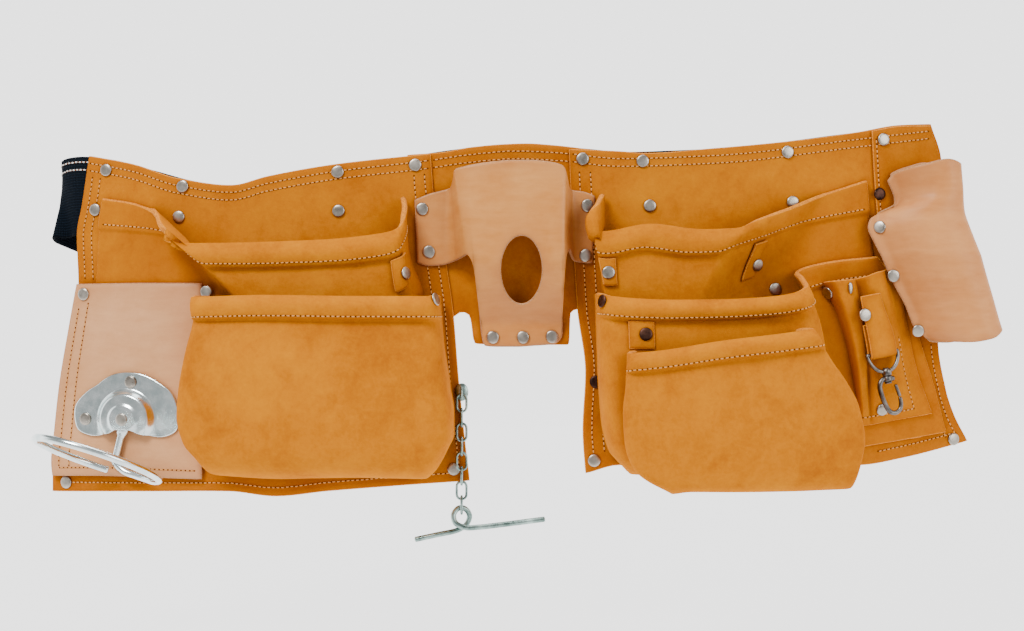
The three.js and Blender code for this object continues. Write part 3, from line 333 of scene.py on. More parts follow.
class Paint:
    """A material's nodes, with short calls for the ones used here."""

    def __init__(self, name, **sockets):
        self.material = bpy.data.materials.new(name)
        self.material.use_nodes = True
        self.nodes = self.material.node_tree.nodes
        self.links = self.material.node_tree.links
        self.shader = self.nodes["Principled BSDF"]
        for socket, value in sockets.items():
            self.shader.inputs[socket.replace("_", " ")].default_value = value
        self.place = self.node("ShaderNodeTexCoord").outputs["Object"]

    def node(self, kind, **settings):
        node = self.nodes.new(kind)
        for key, value in settings.items():
            setattr(node, key, value)
        return node

    def feed(self, socket, value):
        if isinstance(value, bpy.types.NodeSocket):
            self.links.new(value, socket)
        else:
            socket.default_value = value

    def noise(self, scale, detail=3.0, rough=0.5, stretch=None, warp=0.0):
        where = self.place
        if stretch:
            mapping = self.node("ShaderNodeMapping")
            mapping.inputs["Scale"].default_value = stretch
            self.links.new(where, mapping.inputs["Vector"])
            where = mapping.outputs["Vector"]
        node = self.node("ShaderNodeTexNoise")
        self.links.new(where, node.inputs["Vector"])
        node.inputs["Scale"].default_value = scale
        node.inputs["Detail"].default_value = detail
        node.inputs["Roughness"].default_value = rough
        node.inputs["Distortion"].default_value = warp
        return node.outputs["Fac"]

    def cells(self, scale):
        node = self.node("ShaderNodeTexVoronoi")
        self.links.new(self.place, node.inputs["Vector"])
        node.inputs["Scale"].default_value = scale
        return node.outputs["Distance"]

    def math(self, kind, a, b=0.0):
        node = self.node("ShaderNodeMath", operation=kind)
        self.feed(node.inputs[0], a)
        self.feed(node.inputs[1], b)
        return node.outputs[0]

    def span(self, value, low, high, to_low=0.0, to_high=1.0):
        node = self.node("ShaderNodeMapRange")
        self.feed(node.inputs["Value"], value)
        node.inputs["From Min"].default_value = low
        node.inputs["From Max"].default_value = high
        node.inputs["To Min"].default_value = to_low
        node.inputs["To Max"].default_value = to_high
        return node.outputs["Result"]

    def mix(self, share, a, b):
        """A colour between two, each of them an sRGB tone or a node's output."""
        node = self.node("ShaderNodeMix", data_type="RGBA")
        for place, value in ((0, share), (6, a), (7, b)):
            self.feed(node.inputs[place], colour(value) if isinstance(value, tuple) else value)
        return node.outputs[2]

    # Mixes a tone into a colour by a share times a strength; used to paint shade into the colour
    def paint_shade(self, base, share, strength, tone):
        return self.mix(self.math("MULTIPLY", share, strength), base, tone)

    def weigh(self, *parts):
        """The sum of values, each times its own weight."""
        first, *rest = [self.math("MULTIPLY", value, weight) for value, weight in parts]
        for part in rest:
            first = self.math("ADD", first, part)
        return first

    def hollow_shade(self, reach_out):
        """How closed in a place is, from 0 in the open to 1 in a fold, by ambient occlusion. It is used to
        paint shade into the colour in folds.
        """
        node = self.node("ShaderNodeAmbientOcclusion", samples=6)
        node.inputs["Distance"].default_value = reach_out
        return self.span(node.outputs["AO"], 0.35, 0.95, 1, 0)

    def value(self, name):
        return self.node("ShaderNodeAttribute", attribute_name=name).outputs["Fac"]

    def finish(self, base, height=None, strength=0.3, depth=0.0005, roughness=None):
        self.links.new(base, self.shader.inputs["Base Color"])
        if roughness is not None:
            self.links.new(roughness, self.shader.inputs["Roughness"])
        if height is not None:
            bump = self.node("ShaderNodeBump")
            bump.inputs["Strength"].default_value = strength
            bump.inputs["Distance"].default_value = depth
            self.links.new(height, bump.inputs["Height"])
            self.links.new(bump.outputs["Normal"], self.shader.inputs["Normal"])
        return self.material


def suede_paint(name, light, middle, dark):
    """Split suede: a short nap that is brushed lighter and darker in clouds, with small flecks. Shade is
    painted into its colour where the mesh's shade marks say and in folds.
    """
    p = Paint(name, Roughness=0.97, Specular_IOR_Level=0.04, Sheen_Weight=0.06, Sheen_Roughness=0.45,
              Sheen_Tint=colour((255, 180, 60)))
    clouds = p.noise(16, 3, 0.55, warp=0.6)
    patches = p.noise(75, 4, 0.6, warp=0.4)
    flecks = p.noise(420, 3, 0.65)
    nap = p.noise(2600, 2, 0.6)
    tone = p.weigh((clouds, 0.42), (patches, 0.36), (flecks, 0.22))
    low = p.mix(p.span(tone, 0.34, 0.5), dark, middle)
    base = p.mix(p.span(tone, 0.5, 0.66), low, light)
    # Painted shade: darker where the mesh's shade marks say, and darker still in folds by ambient occlusion
    base = p.paint_shade(base, p.value("shade"), 0.5, (150, 72, 0))
    base = p.paint_shade(base, p.hollow_shade(0.03), 0.62, (112, 44, 0))
    base = p.mix(p.span(nap, 0.62, 0.8, 0, 0.18), base, (250, 180, 50))
    return p.finish(base, p.weigh((flecks, 0.6), (nap, 0.5), (patches, 1.2)), 0.4, 0.0006)


def leather_paint(name, light, dark, gloss=0.5):
    """Smooth vegetable-tanned leather with fine pores, faint clouds and small scuffs. Shade is painted into
    its colour near rims and in hollows.
    """
    p = Paint(name, Specular_IOR_Level=0.28, Coat_Weight=0.05, Coat_Roughness=0.4)
    clouds = p.noise(22, 4, 0.6, warp=0.5)
    streaks = p.noise(60, 3, 0.6, stretch=(1, 1, 3.5), warp=0.3)
    grain = p.noise(1500, 3, 0.6)
    pores = p.cells(900)
    tone = p.weigh((clouds, 0.6), (streaks, 0.4))
    base = p.mix(p.span(tone, 0.35, 0.66), dark, light)
    base = p.mix(p.span(grain, 0.3, 0.45, 0.16, 0), base, (150, 100, 66))
    # Painted shade: darker where the mesh's shade marks say, and darker still in hollows by ambient
    # occlusion
    base = p.paint_shade(base, p.value("shade"), 0.4, (176, 110, 62))
    base = p.paint_shade(base, p.hollow_shade(0.02), 0.5, (128, 70, 30))
    rough = p.span(clouds, 0.3, 0.7, gloss - 0.08, gloss + 0.12)
    return p.finish(base, p.weigh((grain, 0.5), (pores, 0.4)), 0.16, 0.0003, rough)


def edge_paint(name, light, dark):
    """The fibrous cut edge of a hide."""
    p = Paint(name, Roughness=0.9)
    fibres = p.noise(900, 3, 0.7, stretch=(1, 1, 2))
    return p.finish(p.mix(p.span(fibres, 0.35, 0.65), dark, light), fibres, 0.4, 0.0004)


def metal_paint(name, bright, dull, low, high, scratch=0.12):
    """Plated metal: cloudy gloss, faint drawn lines and a few darker spots."""
    p = Paint(name, Metallic=1.0)
    clouds = p.noise(110, 4, 0.6)
    lines = p.noise(500, 2, 0.6, stretch=(1, 1, 14))
    spots = p.noise(700, 3, 0.7)
    base = p.mix(p.span(clouds, 0.35, 0.68), dull, bright)
    base = p.mix(p.span(spots, 0.66, 0.78, 0, 0.35), base, dull)
    return p.finish(base, p.math("ADD", lines, clouds), scratch, 0.0002, p.span(clouds, 0.3, 0.7, low, high))


def web_paint():
    """Heavy webbing: fine ribs along the belt, crossed by the weft."""
    p = Paint("webbing", Roughness=0.95, Specular_IOR_Level=0.08)
    run, rise = p.value("run"), p.value("rise")
    ribs = p.math("SINE", p.math("MULTIPLY", rise, 2 * math.pi / 1.9))
    weft = p.math("SINE", p.math("MULTIPLY", run, 2 * math.pi / 1.25))
    crossed = p.math("MULTIPLY", p.math("ADD", weft, 1.4), p.math("ADD", ribs, 1.3))
    fuzz = p.noise(1400, 3, 0.6)
    tone = p.weigh((crossed, 0.16), (fuzz, 0.5))
    base = p.mix(p.span(tone, 0.2, 1.0), (2, 5, 9), (16, 26, 38))
    return p.finish(base, p.math("ADD", crossed, fuzz), 0.5, 0.0004)


def plain_paint(name, light, dark, scale, roughness, strength=0.2, **more):
    p = Paint(name, Roughness=roughness, **more)
    spread = p.noise(scale, 3, 0.6)
    return p.finish(p.mix(p.span(spread, 0.35, 0.65), dark, light), spread, strength, 0.0003)


suede = suede_paint("suede", (208, 128, 0), (194, 113, 0), (172, 92, 0))
suede_edge = edge_paint("suede_edge", (232, 150, 20), (172, 88, 4))
patch_tan = leather_paint("patch_tan", (220, 162, 112), (206, 144, 94))
holder_tan = leather_paint("holder_tan", (216, 148, 76), (198, 124, 52), 0.42)
holster_tan = leather_paint("holster_tan", (214, 145, 80), (196, 122, 58), 0.46)
tan_edge = edge_paint("tan_edge", (206, 152, 104), (150, 98, 56))
webbing = web_paint()
zinc = metal_paint("zinc", (240, 246, 246), (206, 220, 220), 0.14, 0.24, 0.03)
zinc_chain = metal_paint("zinc_chain", (176, 198, 192), (98, 120, 114), 0.2, 0.4)
nickel = metal_paint("nickel", (196, 188, 176), (152, 144, 134), 0.24, 0.42)
dark_nickel = metal_paint("dark_nickel", (92, 62, 50), (30, 22, 22), 0.3, 0.5)
gunmetal = metal_paint("gunmetal", (132, 126, 120), (72, 68, 66), 0.25, 0.42)
thread = plain_paint("thread", (228, 168, 98), (204, 140, 70), 900, 0.85, Specular_IOR_Level=0.1)
white_thread = plain_paint("white_thread", (244, 240, 232), (214, 208, 200), 900, 0.8)
# Dark discs over the needle holes, painted shade of the holes
needle_hole_shade = plain_paint("needle_hole_shade", (112, 54, 14), (76, 34, 8), 900, 0.98,
                          Specular_IOR_Level=0.05)
black_plastic = plain_paint("black_plastic", (30, 31, 34), (20, 21, 24), 800, 0.5)


# Flat panels: top, right, bottom and left edge, in shares of reach and drop

left_back_edges = [
    [[-0.976, 0.092], [-0.868, 0.064], [-0.761, 0.021], [-0.634, -0.001], [-0.551, 0.023], [-0.399, 0.055],
     [-0.185, 0.084]],
    [[-0.185, 0.084], [-0.178, -0.027], [-0.151, -0.213], [-0.135, -0.349], [-0.122, -0.546],
     [-0.106, -0.74], [-0.097, -0.833]],
    [[-1.069, -0.882], [-0.845, -0.873], [-0.642, -0.867], [-0.536, -0.879], [-0.415, -0.863],
     [-0.237, -0.845], [-0.097, -0.833]],
    [[-0.976, 0.092], [-0.994, -0.048], [-1.007, -0.135], [-1.003, -0.278], [-1.04, -0.535],
     [-1.069, -0.835], [-1.069, -0.882]],
]

centre_edges = [
    [[-0.235, 0.082], [-0.158, 0.089], [-0.095, 0.103], [-0.016, 0.112], [0.032, 0.114], [0.095, 0.109],
     [0.2, 0.093]],
    [[0.2, 0.093], [0.2, -0.157], [0.2, -0.397]],
    [[-0.235, -0.411], [-0.133, -0.371], [-0.113, -0.357], [-0.095, -0.368], [-0.081, -0.447],
     [0.018, -0.45], [0.126, -0.45], [0.131, -0.36], [0.149, -0.349], [0.2, -0.397]],
    [[-0.235, 0.082], [-0.235, -0.157], [-0.235, -0.411]],
]

right_back_edges = [
    [[0.13, 0.097], [0.244, 0.091], [0.298, 0.086], [0.458, 0.101], [0.632, 0.124], [0.79, 0.154],
     [0.885, 0.177], [0.966, 0.184]],
    [[0.966, 0.184], [0.992, 0.078], [0.984, -0.179], [0.984, -0.441], [1.004, -0.587], [1.025, -0.661],
     [1.058, -0.735]],
    [[0.167, -0.812], [0.242, -0.789], [0.424, -0.79], [0.794, -0.796], [0.894, -0.779], [1.058, -0.735]],
    [[0.13, 0.097], [0.135, -0.044], [0.149, -0.349], [0.167, -0.529], [0.161, -0.692], [0.167, -0.812]],
]

end_panel_edges = [
    [[0.82, 0.158], [0.89, 0.174], [0.96, 0.178]],
    [[0.96, 0.178], [0.982, 0.076], [0.974, -0.18], [0.974, -0.412]],
    [[0.862, -0.325], [0.901, -0.368], [0.974, -0.412]],
    [[0.82, 0.158], [0.826, 0.027], [0.832, -0.064], [0.862, -0.325]],
]


# Pockets. A row of across: share along the mouth, share along the foot, how far out it stands.
# A row of down: share down where it stands out, share down at the seams, how far out it stands.

rear_down = [
    [0, 0, 0.97], [0.055, 0.055, 1], [0.11, 0.11, 1], [0.125, 0.125, 0.98], [0.3, 0.3, 1],
    [0.6, 0.6, 1], [0.85, 0.8, 1], [0.95, 0.88, 0.8], [1, 0.93, 0.4], [1, 0.97, 0.12], [1, 1, 0],
]

left_rear = {
    "edges": [
        [[-0.936, -0.036], [-0.861, -0.052], [-0.81, -0.08], [-0.75, -0.141], [-0.712, -0.168],
         [-0.637, -0.169], [-0.418, -0.162], [-0.29, -0.145], [-0.245, -0.125], [-0.232, -0.075],
         [-0.238, -0.04]],
        [[-0.238, -0.04], [-0.236, -0.108], [-0.225, -0.214], [-0.2, -0.3], [-0.195, -0.411],
         [-0.2, -0.607], [-0.215, -0.76]],
        [[0, -1.015, -0.76], [0.145, -0.65, -0.765], [0.19, -0.6, -0.77], [0.27, -0.55, -0.77],
         [0.84, -0.27, -0.77], [1, -0.215, -0.76]],
        [[-0.936, -0.036], [-0.945, -0.104], [-0.955, -0.278], [-0.99, -0.47], [-1.01, -0.66],
         [-1.015, -0.76]],
    ],
    "hurry": 3,
    "across": [
        [0, 0, 0], [0.025, 0.025, 0], [0.05, 0.05, 0], [0.075, 0.075, 0], [0.1, 0.1, 0], [0.125, 0.125, 0],
        [0.15, 0.15, 0.02], [0.19, 0.19, 0.3], [0.23, 0.22, 0.72], [0.27, 0.25, 0.95], [0.33, 0.33, 1],
        [0.48, 0.48, 1], [0.64, 0.64, 1], [0.8, 0.8, 1], [0.89, 0.89, 0.97], [0.935, 0.93, 0.78],
        [0.965, 0.95, 0.45], [0.985, 0.975, 0.15], [1, 1, 0],
    ],
    "down": rear_down,
    "depth": left_rear_depth,
    "lift": on_panel,
}

left_front = {
    "edges": [
        [[-0.68, -0.32], [-0.512, -0.314], [-0.33, -0.317], [-0.158, -0.317]],
        [[-0.158, -0.317], [-0.152, -0.433], [-0.136, -0.569], [-0.128, -0.642], [-0.128, -0.7],
         [-0.141, -0.739], [-0.162, -0.788], [-0.188, -0.822]],
        [[-0.648, -0.815], [-0.504, -0.822], [-0.307, -0.818], [-0.188, -0.822]],
        [[-0.68, -0.32], [-0.677, -0.379], [-0.69, -0.473], [-0.703, -0.571], [-0.707, -0.645],
         [-0.694, -0.717], [-0.669, -0.765], [-0.648, -0.815]],
    ],
    "across": [
        [0, 0, 0], [0, 0.02, 0.28], [0, 0.04, 0.6], [0.02, 0.06, 0.86], [0.07, 0.1, 0.97], [0.2, 0.2, 1],
        [0.4, 0.4, 1.03], [0.6, 0.6, 1.03], [0.8, 0.8, 1], [0.93, 0.9, 0.97], [0.98, 0.94, 0.86],
        [1, 0.96, 0.6], [1, 0.98, 0.28], [1, 1, 0],
    ],
    "down": [
        [0, 0, 0.9], [0.05, 0.05, 0.93], [0.115, 0.11, 0.93], [0.13, 0.125, 0.9], [0.35, 0.35, 1.02],
        [0.6, 0.58, 1.06], [0.8, 0.76, 1.04], [0.92, 0.85, 0.92], [0.98, 0.9, 0.68], [1, 0.935, 0.35],
        [0.99, 0.965, 0.1], [0.985, 0.985, 0],
    ],
    "depth": left_front_depth,
    "lift": on_patch,
}

right_rear = {
    "edges": [
        [[0.196, -0.032], [0.184, -0.06], [0.172, -0.1], [0.175, -0.135], [0.198, -0.138], [0.303, -0.118],
         [0.406, -0.132], [0.48, -0.129], [0.528, -0.108], [0.615, -0.073], [0.714, -0.025], [0.803, 0.012]],
        [[0.803, 0.012], [0.815, -0.153], [0.864, -0.411], [0.913, -0.6], [0.938, -0.72]],
        [[0, 0.235, -0.72], [0.1, 0.26, -0.74], [0.56, 0.43, -0.76], [0.71, 0.5, -0.76],
         [0.85, 0.61, -0.755], [1, 0.938, -0.72]],
        [[0.196, -0.032], [0.198, -0.186], [0.2, -0.41], [0.208, -0.607], [0.235, -0.72]],
    ],
    "hurry": 3,
    "across": [
        [0, 0, 0], [0.025, 0.02, 0.4], [0.05, 0.04, 0.8], [0.08, 0.07, 0.97], [0.12, 0.11, 1],
        [0.28, 0.28, 1], [0.4, 0.4, 0.97], [0.5, 0.5, 1], [0.57, 0.57, 0.97], [0.64, 0.64, 0.8],
        [0.71, 0.71, 0.52], [0.78, 0.78, 0.24], [0.84, 0.84, 0.06], [0.87, 0.87, 0.01], [0.895, 0.895, 0],
        [0.92, 0.92, 0], [0.947, 0.947, 0], [0.973, 0.973, 0], [1, 1, 0],
    ],
    "down": rear_down,
    "depth": right_rear_depth,
    "lift": on_panel,
}

right_middle = {
    "edges": [
        [[0.184, -0.312], [0.253, -0.322], [0.336, -0.327], [0.447, -0.325], [0.536, -0.318],
         [0.598, -0.303], [0.63, -0.28], [0.632, -0.256], [0.715, -0.221], [0.826, -0.205]],
        [[0.826, -0.205], [0.894, -0.325], [0.934, -0.455], [0.969, -0.586], [0.997, -0.714]],
        [[0, 0.262, -0.81], [0.35, 0.441, -0.81], [0.62, 0.66, -0.795], [0.735, 0.775, -0.755],
         [0.85, 0.88, -0.735], [1, 0.997, -0.714]],
        [[0.184, -0.312], [0.189, -0.469], [0.193, -0.578], [0.2, -0.678], [0.215, -0.746], [0.239, -0.781],
         [0.262, -0.81]],
    ],
    "across": [
        [0, 0, 0], [0, 0.02, 0.28], [0, 0.04, 0.6], [0.02, 0.06, 0.88], [0.06, 0.1, 0.98], [0.2, 0.2, 1],
        [0.35, 0.35, 1], [0.5, 0.5, 1], [0.6, 0.6, 0.96], [0.65, 0.65, 0.78], [0.685, 0.685, 0.5],
        [0.71, 0.71, 0.22], [0.735, 0.735, 0.03], [0.8, 0.8, 0], [0.9, 0.9, 0], [1, 1, 0],
    ],
    "down": [
        [0, 0, 0.95], [0.05, 0.05, 0.98], [0.11, 0.11, 0.98], [0.125, 0.125, 0.95], [0.35, 0.35, 1],
        [0.6, 0.58, 1], [0.82, 0.76, 1], [0.93, 0.85, 0.92], [0.985, 0.9, 0.68], [1, 0.935, 0.35],
        [0.99, 0.965, 0.1], [0.985, 0.985, 0],
    ],
    "depth": right_middle_depth,
    "lift": on_pocket_flap,
}

right_front = {
    "edges": [
        [[0.243, -0.47], [0.309, -0.461], [0.422, -0.436], [0.537, -0.417], [0.608, -0.404]],
        [[0.608, -0.404], [0.642, -0.485], [0.677, -0.555], [0.697, -0.607], [0.71, -0.705],
         [0.702, -0.773], [0.69, -0.838]],
        [[0.335, -0.848], [0.372, -0.842], [0.505, -0.842], [0.69, -0.838]],
        [[0.243, -0.47], [0.24, -0.551], [0.232, -0.628], [0.236, -0.709], [0.253, -0.768], [0.272, -0.795],
         [0.335, -0.848]],
    ],
    "across": [
        [0.045, 0.05, 0], [0.015, 0.07, 0.28], [0, 0.09, 0.6], [0.02, 0.12, 0.88], [0.07, 0.16, 0.98],
        [0.2, 0.24, 1.02], [0.4, 0.42, 1.08], [0.6, 0.6, 1.08], [0.8, 0.76, 1.02], [0.93, 0.84, 0.98],
        [0.98, 0.88, 0.88], [1, 0.91, 0.6], [0.985, 0.93, 0.28], [0.95, 0.95, 0],
    ],
    "down": [
        [0, 0, 0.86], [0.05, 0.05, 0.92], [0.115, 0.1, 0.93], [0.13, 0.115, 0.9], [0.35, 0.32, 1.02],
        [0.6, 0.52, 1.08], [0.8, 0.68, 1.06], [0.92, 0.76, 0.94], [0.98, 0.79, 0.7], [1, 0.81, 0.38],
        [0.94, 0.825, 0.12], [0.83, 0.83, 0],
    ],
    "depth": right_front_depth,
    "lift": on_middle_face,
}


# Camera, light and stage

camera_back = 1100.0
camera_height = -88.7
camera_lens = 56.9
camera = bpy.data.objects.new("camera", bpy.data.cameras.new("camera"))
bpy.context.scene.collection.objects.link(camera)
camera.data.sensor_width = 36
camera.data.lens = camera_lens
camera.location = (0, -camera_back * METRE, camera_height * METRE)
camera.rotation_euler = (math.pi / 2, 0, 0)
bpy.context.scene.camera = camera


def area_light(name, at, aim, size, power):
    """A round soft light. Places and size are in metres."""
    light = bpy.data.objects.new(name, bpy.data.lights.new(name, "AREA"))
    bpy.context.scene.collection.objects.link(light)
    light.data.shape = "DISK"
    light.data.size = size
    light.data.energy = power
    light.location = at
    run = np.array(aim) - np.array(at)
    light.rotation_euler = (math.acos(-run[2] / np.linalg.norm(run)), 0, math.atan2(-run[0], run[1]))


area_light("key", (-0.9, -1.3, 1.4), (0, 0, -0.05), 0.8, 52)
area_light("fill", (1.4, -1.2, 0.35), (0, 0, -0.05), 1.2, 17)
area_light("top", (0.1, 0.1, 1.5), (0, 0, 0), 1.2, 16)

world = bpy.data.worlds.new("studio")
bpy.context.scene.world = world
world.use_nodes = True
sky = world.node_tree.nodes["Background"].inputs
sky["Color"].default_value = (1, 1, 1, 1)
sky["Strength"].default_value = 0.42

# A round pale stage, wider than any camera's distance. It glows more behind the object than in front.
floor_level = -320.0
wall_distance = 2700.0
wall_top = 1500.0
curve_radius = 500.0
stage_sides = 64
glow_front, glow_back = 0.38, 2.4
glow_from, glow_to = -700.0, 100.0
profile = [(1.0, floor_level)]
profile += [(wall_distance - curve_radius + curve_radius * math.sin(a * DEGREE),
             floor_level + curve_radius * (1 - math.cos(a * DEGREE))) for a in range(0, 91, 6)]
profile += [(wall_distance, wall_top)]
stage_turn = np.arange(stage_sides) * 2 * math.pi / stage_sides
stage_points = [(r * math.cos(a), r * math.sin(a), z) for r, z in profile for a in stage_turn]
stage_index = np.arange(len(stage_points)).reshape(-1, stage_sides)
stage_next = np.roll(stage_index, -1, axis=1)
stage_quads = np.stack([stage_index[:-1], stage_next[:-1], stage_next[1:], stage_index[1:]], axis=-1)
stage_faces = [list(range(stage_sides))] + stage_quads.reshape(-1, 4).tolist()
pale = Paint("backdrop", Base_Color=colour((96, 96, 96)), Roughness=0.95, Emission_Color=(1, 1, 1, 1))
depth_in = pale.node("ShaderNodeSeparateXYZ")
pale.links.new(pale.place, depth_in.inputs[0])
glow = pale.span(depth_in.outputs["Y"], glow_from * METRE, glow_to * METRE, glow_front, glow_back)
pale.links.new(glow, pale.shader.inputs["Emission Strength"])
stage = make_object("backdrop", stage_points, stage_faces, [pale.material])


# Suede and leather pieces


def declare(piece, grid, thick, held, rests_on, finish, *nodes):
    """Hides the CAD nodes that a piece replaces. Its finish and the flat cut that it was made from are not
    used.
    """
    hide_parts(*nodes)


hides = {"suede": [suede, suede_edge], "patch": [patch_tan, tan_edge], "holder": [holder_tan, tan_edge],
         "holster": [holster_tan, tan_edge]}


def hide_piece(node, hide, grid, held, rests_on, shade, keep=None):
    """A wall of suede or smooth leather over a grid, in the place of the CAD's node."""
    split = hide == "suede"
    ending, finish, thick = ("suede", "suede", suede_wall) if split else ("leather", "tan", tan_wall)
    piece = wall(f"{node}_{ending}", grid, thick, hides[hide], keep=keep, marks={"shade": shade})
    declare(piece, grid, thick, held, rests_on, finish, node)


flat_pieces = [
    ("left_back_panel", left_back_edges, panel_lift, ["web_belt"]),
    ("centre_panel", centre_edges, centre_lift, ["web_belt"]),
    ("right_back_panel", right_back_edges, panel_lift, ["web_belt"]),
    ("right_end_panel", end_panel_edges, on_panel, ["right_back_panel"]),
]
for name, edges, lift, rests_on in flat_pieces:
    grid = flat_grid(edges, lift)
    hide_piece(name, "suede", grid, "hung", rests_on, rim_shade(grid))

patch_edges = [
    [[-0.999, -0.281], [-0.846, -0.279], [-0.7, -0.28]],
    [[-0.7, -0.28], [-0.7, -0.553], [-0.7, -0.832]],
    [[-1.06, -0.834], [-0.905, -0.829], [-0.7, -0.832]],
    [[-0.999, -0.281], [-1.019, -0.409], [-1.042, -0.567], [-1.055, -0.701], [-1.063, -0.8],
     [-1.06, -0.834]],
]
grid = flat_grid(patch_edges, on_patch)
hide_piece("hammer_patch", "patch", grid, "stretched", ["left_back_panel"], rim_shade(grid, 3))


bag_grids = {}


wide_ripple = (38, 52)
fine_ripple = (17, 24)
# The row and width of the painted shade line under a bag's hem
hem_shade_row = 2.75
hem_shade_width = 0.16


def make_bag(name, bag, seed, rests_on, puff=1.2, pitch=2.6):
    """A sewn suede bag with a doubled hem, soft ripples and a swell between its seams."""
    face = bag_surface(bag)
    columns, rows = bag_steps(bag, pitch)
    u, v = columns[None, :], rows[:, None]
    grid, hem, out = face(u, v)
    x, z = grid[..., 0], grid[..., 2]
    ripple = soft_noise(x / wide_ripple[0] + 7, z / wide_ripple[1] + 3, seed)
    ripple = ripple + 0.5 * soft_noise(x / fine_ripple[0], z / fine_ripple[1], seed + 1)
    pull = np.clip((v - 2.5) / 1.5, 0, 1)
    grid = grid + grid_normals(grid) * (puff * ripple * out * pull)[..., None]
    bag_grids[name] = grid
    thick = suede_wall + hem
    # Painted shade marks: a dark line under the hem's step, and darkening at the bag's foot where it meets
    # the piece below it
    step = np.exp(-((v - hem_shade_row) / hem_shade_width) ** 2) * np.ones_like(out)
    foot = 1 - np.clip(out * 4, 0, 1)
    piece = wall(name + "_suede", grid, thick, hides["suede"], marks={"shade": 0.5 * step + 0.7 * foot})
    declare(piece, grid, suede_wall + hem_extra / 4, "gathered", rests_on, "suede", name)
    return face


bags = [
    ("left_rear_pocket", left_rear, 21, "left_back_panel"),
    ("left_front_pocket", left_front, 31, "left_back_panel"),
    ("right_rear_pocket", right_rear, 41, "right_back_panel"),
    ("right_middle_pocket", right_middle, 51, "right_back_panel"),
    ("right_front_pocket", right_front, 61, "right_middle_pocket"),
]
faces_of = {name: make_bag(name, bag, seed, [behind]) for name, bag, seed, behind in bags}


# Straps that hold the pockets' corners

tab_room = 0.8


def face_normal(face, column, row):
    point = face(column, row)[0]
    across = face(column + 0.05, row)[0] - point
    down = face(column, row + 0.05)[0] - point
    return point, unit(np.cross(down, across))


# Columns of the pocket from the tab's left to its right, and rows of (down, shift to the right)
tab_tables = [
    ("left_pocket_tab", "left_rear_pocket", [13.82, 14, 14.85], [[3.1, 0], [3.85, 0]]),
    ("right_pocket_tab", "right_rear_pocket", [4.02, 4.45], [[3.05, 0], [3.75, 0]]),
    ("slanted_tab", "right_rear_pocket", [9.85, 10, 10.5], [[3.05, 0], [3.5, 0.35], [3.95, 0.7]]),
    ("middle_pocket_tab", "right_middle_pocket", [4.36, 4.82], [[3.05, 0], [3.7, 0]]),
]


def spread_out(values, count):
    return np.interp(np.linspace(0, 1, count), np.linspace(0, 1, len(values)), values)


tab_grids = {}
for name, pocket, columns, rows in tab_tables:
    down, shift = [spread_out(values, 25)[:, None] for values in np.array(rows).T]
    point, normal = face_normal(faces_of[pocket], spread_out(columns, 17)[None, :] + shift, down)
    tab_grids[name] = grid = point + normal * (tab_room + suede_wall)
    hide_piece(name, "suede", grid, "stretched", [pocket], rim_shade(grid, 2))


# Tool sleeve

sleeve_edges = [
    [[0, 0.695, -0.277], [0.25, 0.728, -0.272], [0.5, 0.77, -0.266], [0.75, 0.81, -0.248],
     [1, 0.861, -0.237]],
    [[0.861, -0.237], [0.892, -0.383], [0.919, -0.527], [0.956, -0.651]],
    [[0, 0.786, -0.684], [0.5, 0.81, -0.68], [1, 0.956, -0.651]],
    [[0.695, -0.277], [0.748, -0.439], [0.786, -0.684]],
]
sleeve_depth = 9.0
on_sleeve_foot = on_pocket_flap + 2 * gap + suede_wall
over_hem = smooth([[0, 1], [0.15, 1], [0.35, 0]])
# How far the sleeve stands out from left to right, for two slots with a seam between them
slot_swell = smooth([
    [0, 0], [0.05, 0.5], [0.12, 0.95], [0.2, 1], [0.33, 1], [0.41, 0.9], [0.47, 0.4], [0.5, 0],
    [0.53, 0.4], [0.59, 0.9], [0.66, 1], [0.76, 1], [0.82, 0.8], [0.88, 0.25], [0.93, 0], [1, 0],
])
slot_fade = smooth([[0, 1], [0.5, 0.9], [0.85, 0.45], [1, 0]])


def sleeve_lift(s, t):
    return on_sleeve_foot + hem_extra * over_hem(t) + sleeve_depth * slot_swell(s) * slot_fade(t)


sleeve_grid = flat_grid(sleeve_edges, sleeve_lift, 1.8)
# Painted shade: darker in the valley of the seam between the two slots, and near the rims
seam_shade_width = 0.035
seam = np.exp(-((np.linspace(0, 1, sleeve_grid.shape[1])[None, :] - 0.5) / seam_shade_width) ** 2)
shade = np.clip(rim_shade(sleeve_grid, 3) * 0.7 + 0.8 * seam, 0, 1)
hide_piece("tool_sleeve", "suede", sleeve_grid, "stretched", ["right_rear_pocket"], shade)


# Wires, turned pieces and places on the sheet

fine_steps = 40


def curve(points, count, closed=False):
    """A smooth line through points, with even steps. Numbers after the third ride along."""
    points = np.asarray(points, float)
    if closed:
        points = np.concatenate([points[-2:], points, points[:3]])
    knots = np.concatenate([[0], np.cumsum(np.linalg.norm(np.diff(points[:, :3], axis=0), axis=1) ** 0.5)])
    slopes = np.gradient(points, knots, axis=0, edge_order=1)
    first, last = (knots[2], knots[-3]) if closed else (knots[0], knots[-1])

    def value(x):
        i = np.clip(np.searchsorted(knots, x, side="right") - 1, 0, len(knots) - 2)
        h = (knots[i + 1] - knots[i])[:, None]
        return between(points, slopes, i, (x - knots[i])[:, None] / h, h)

    fine = np.linspace(first, last, fine_steps * len(points))
    steps = np.linalg.norm(np.diff(value(fine)[:, :3], axis=0), axis=1)
    along = np.concatenate([[0], np.cumsum(steps)])
    even = np.linspace(0, along[-1], count + 1)[:count] if closed else np.linspace(0, along[-1], count)
    return value(np.interp(even, along, fine))


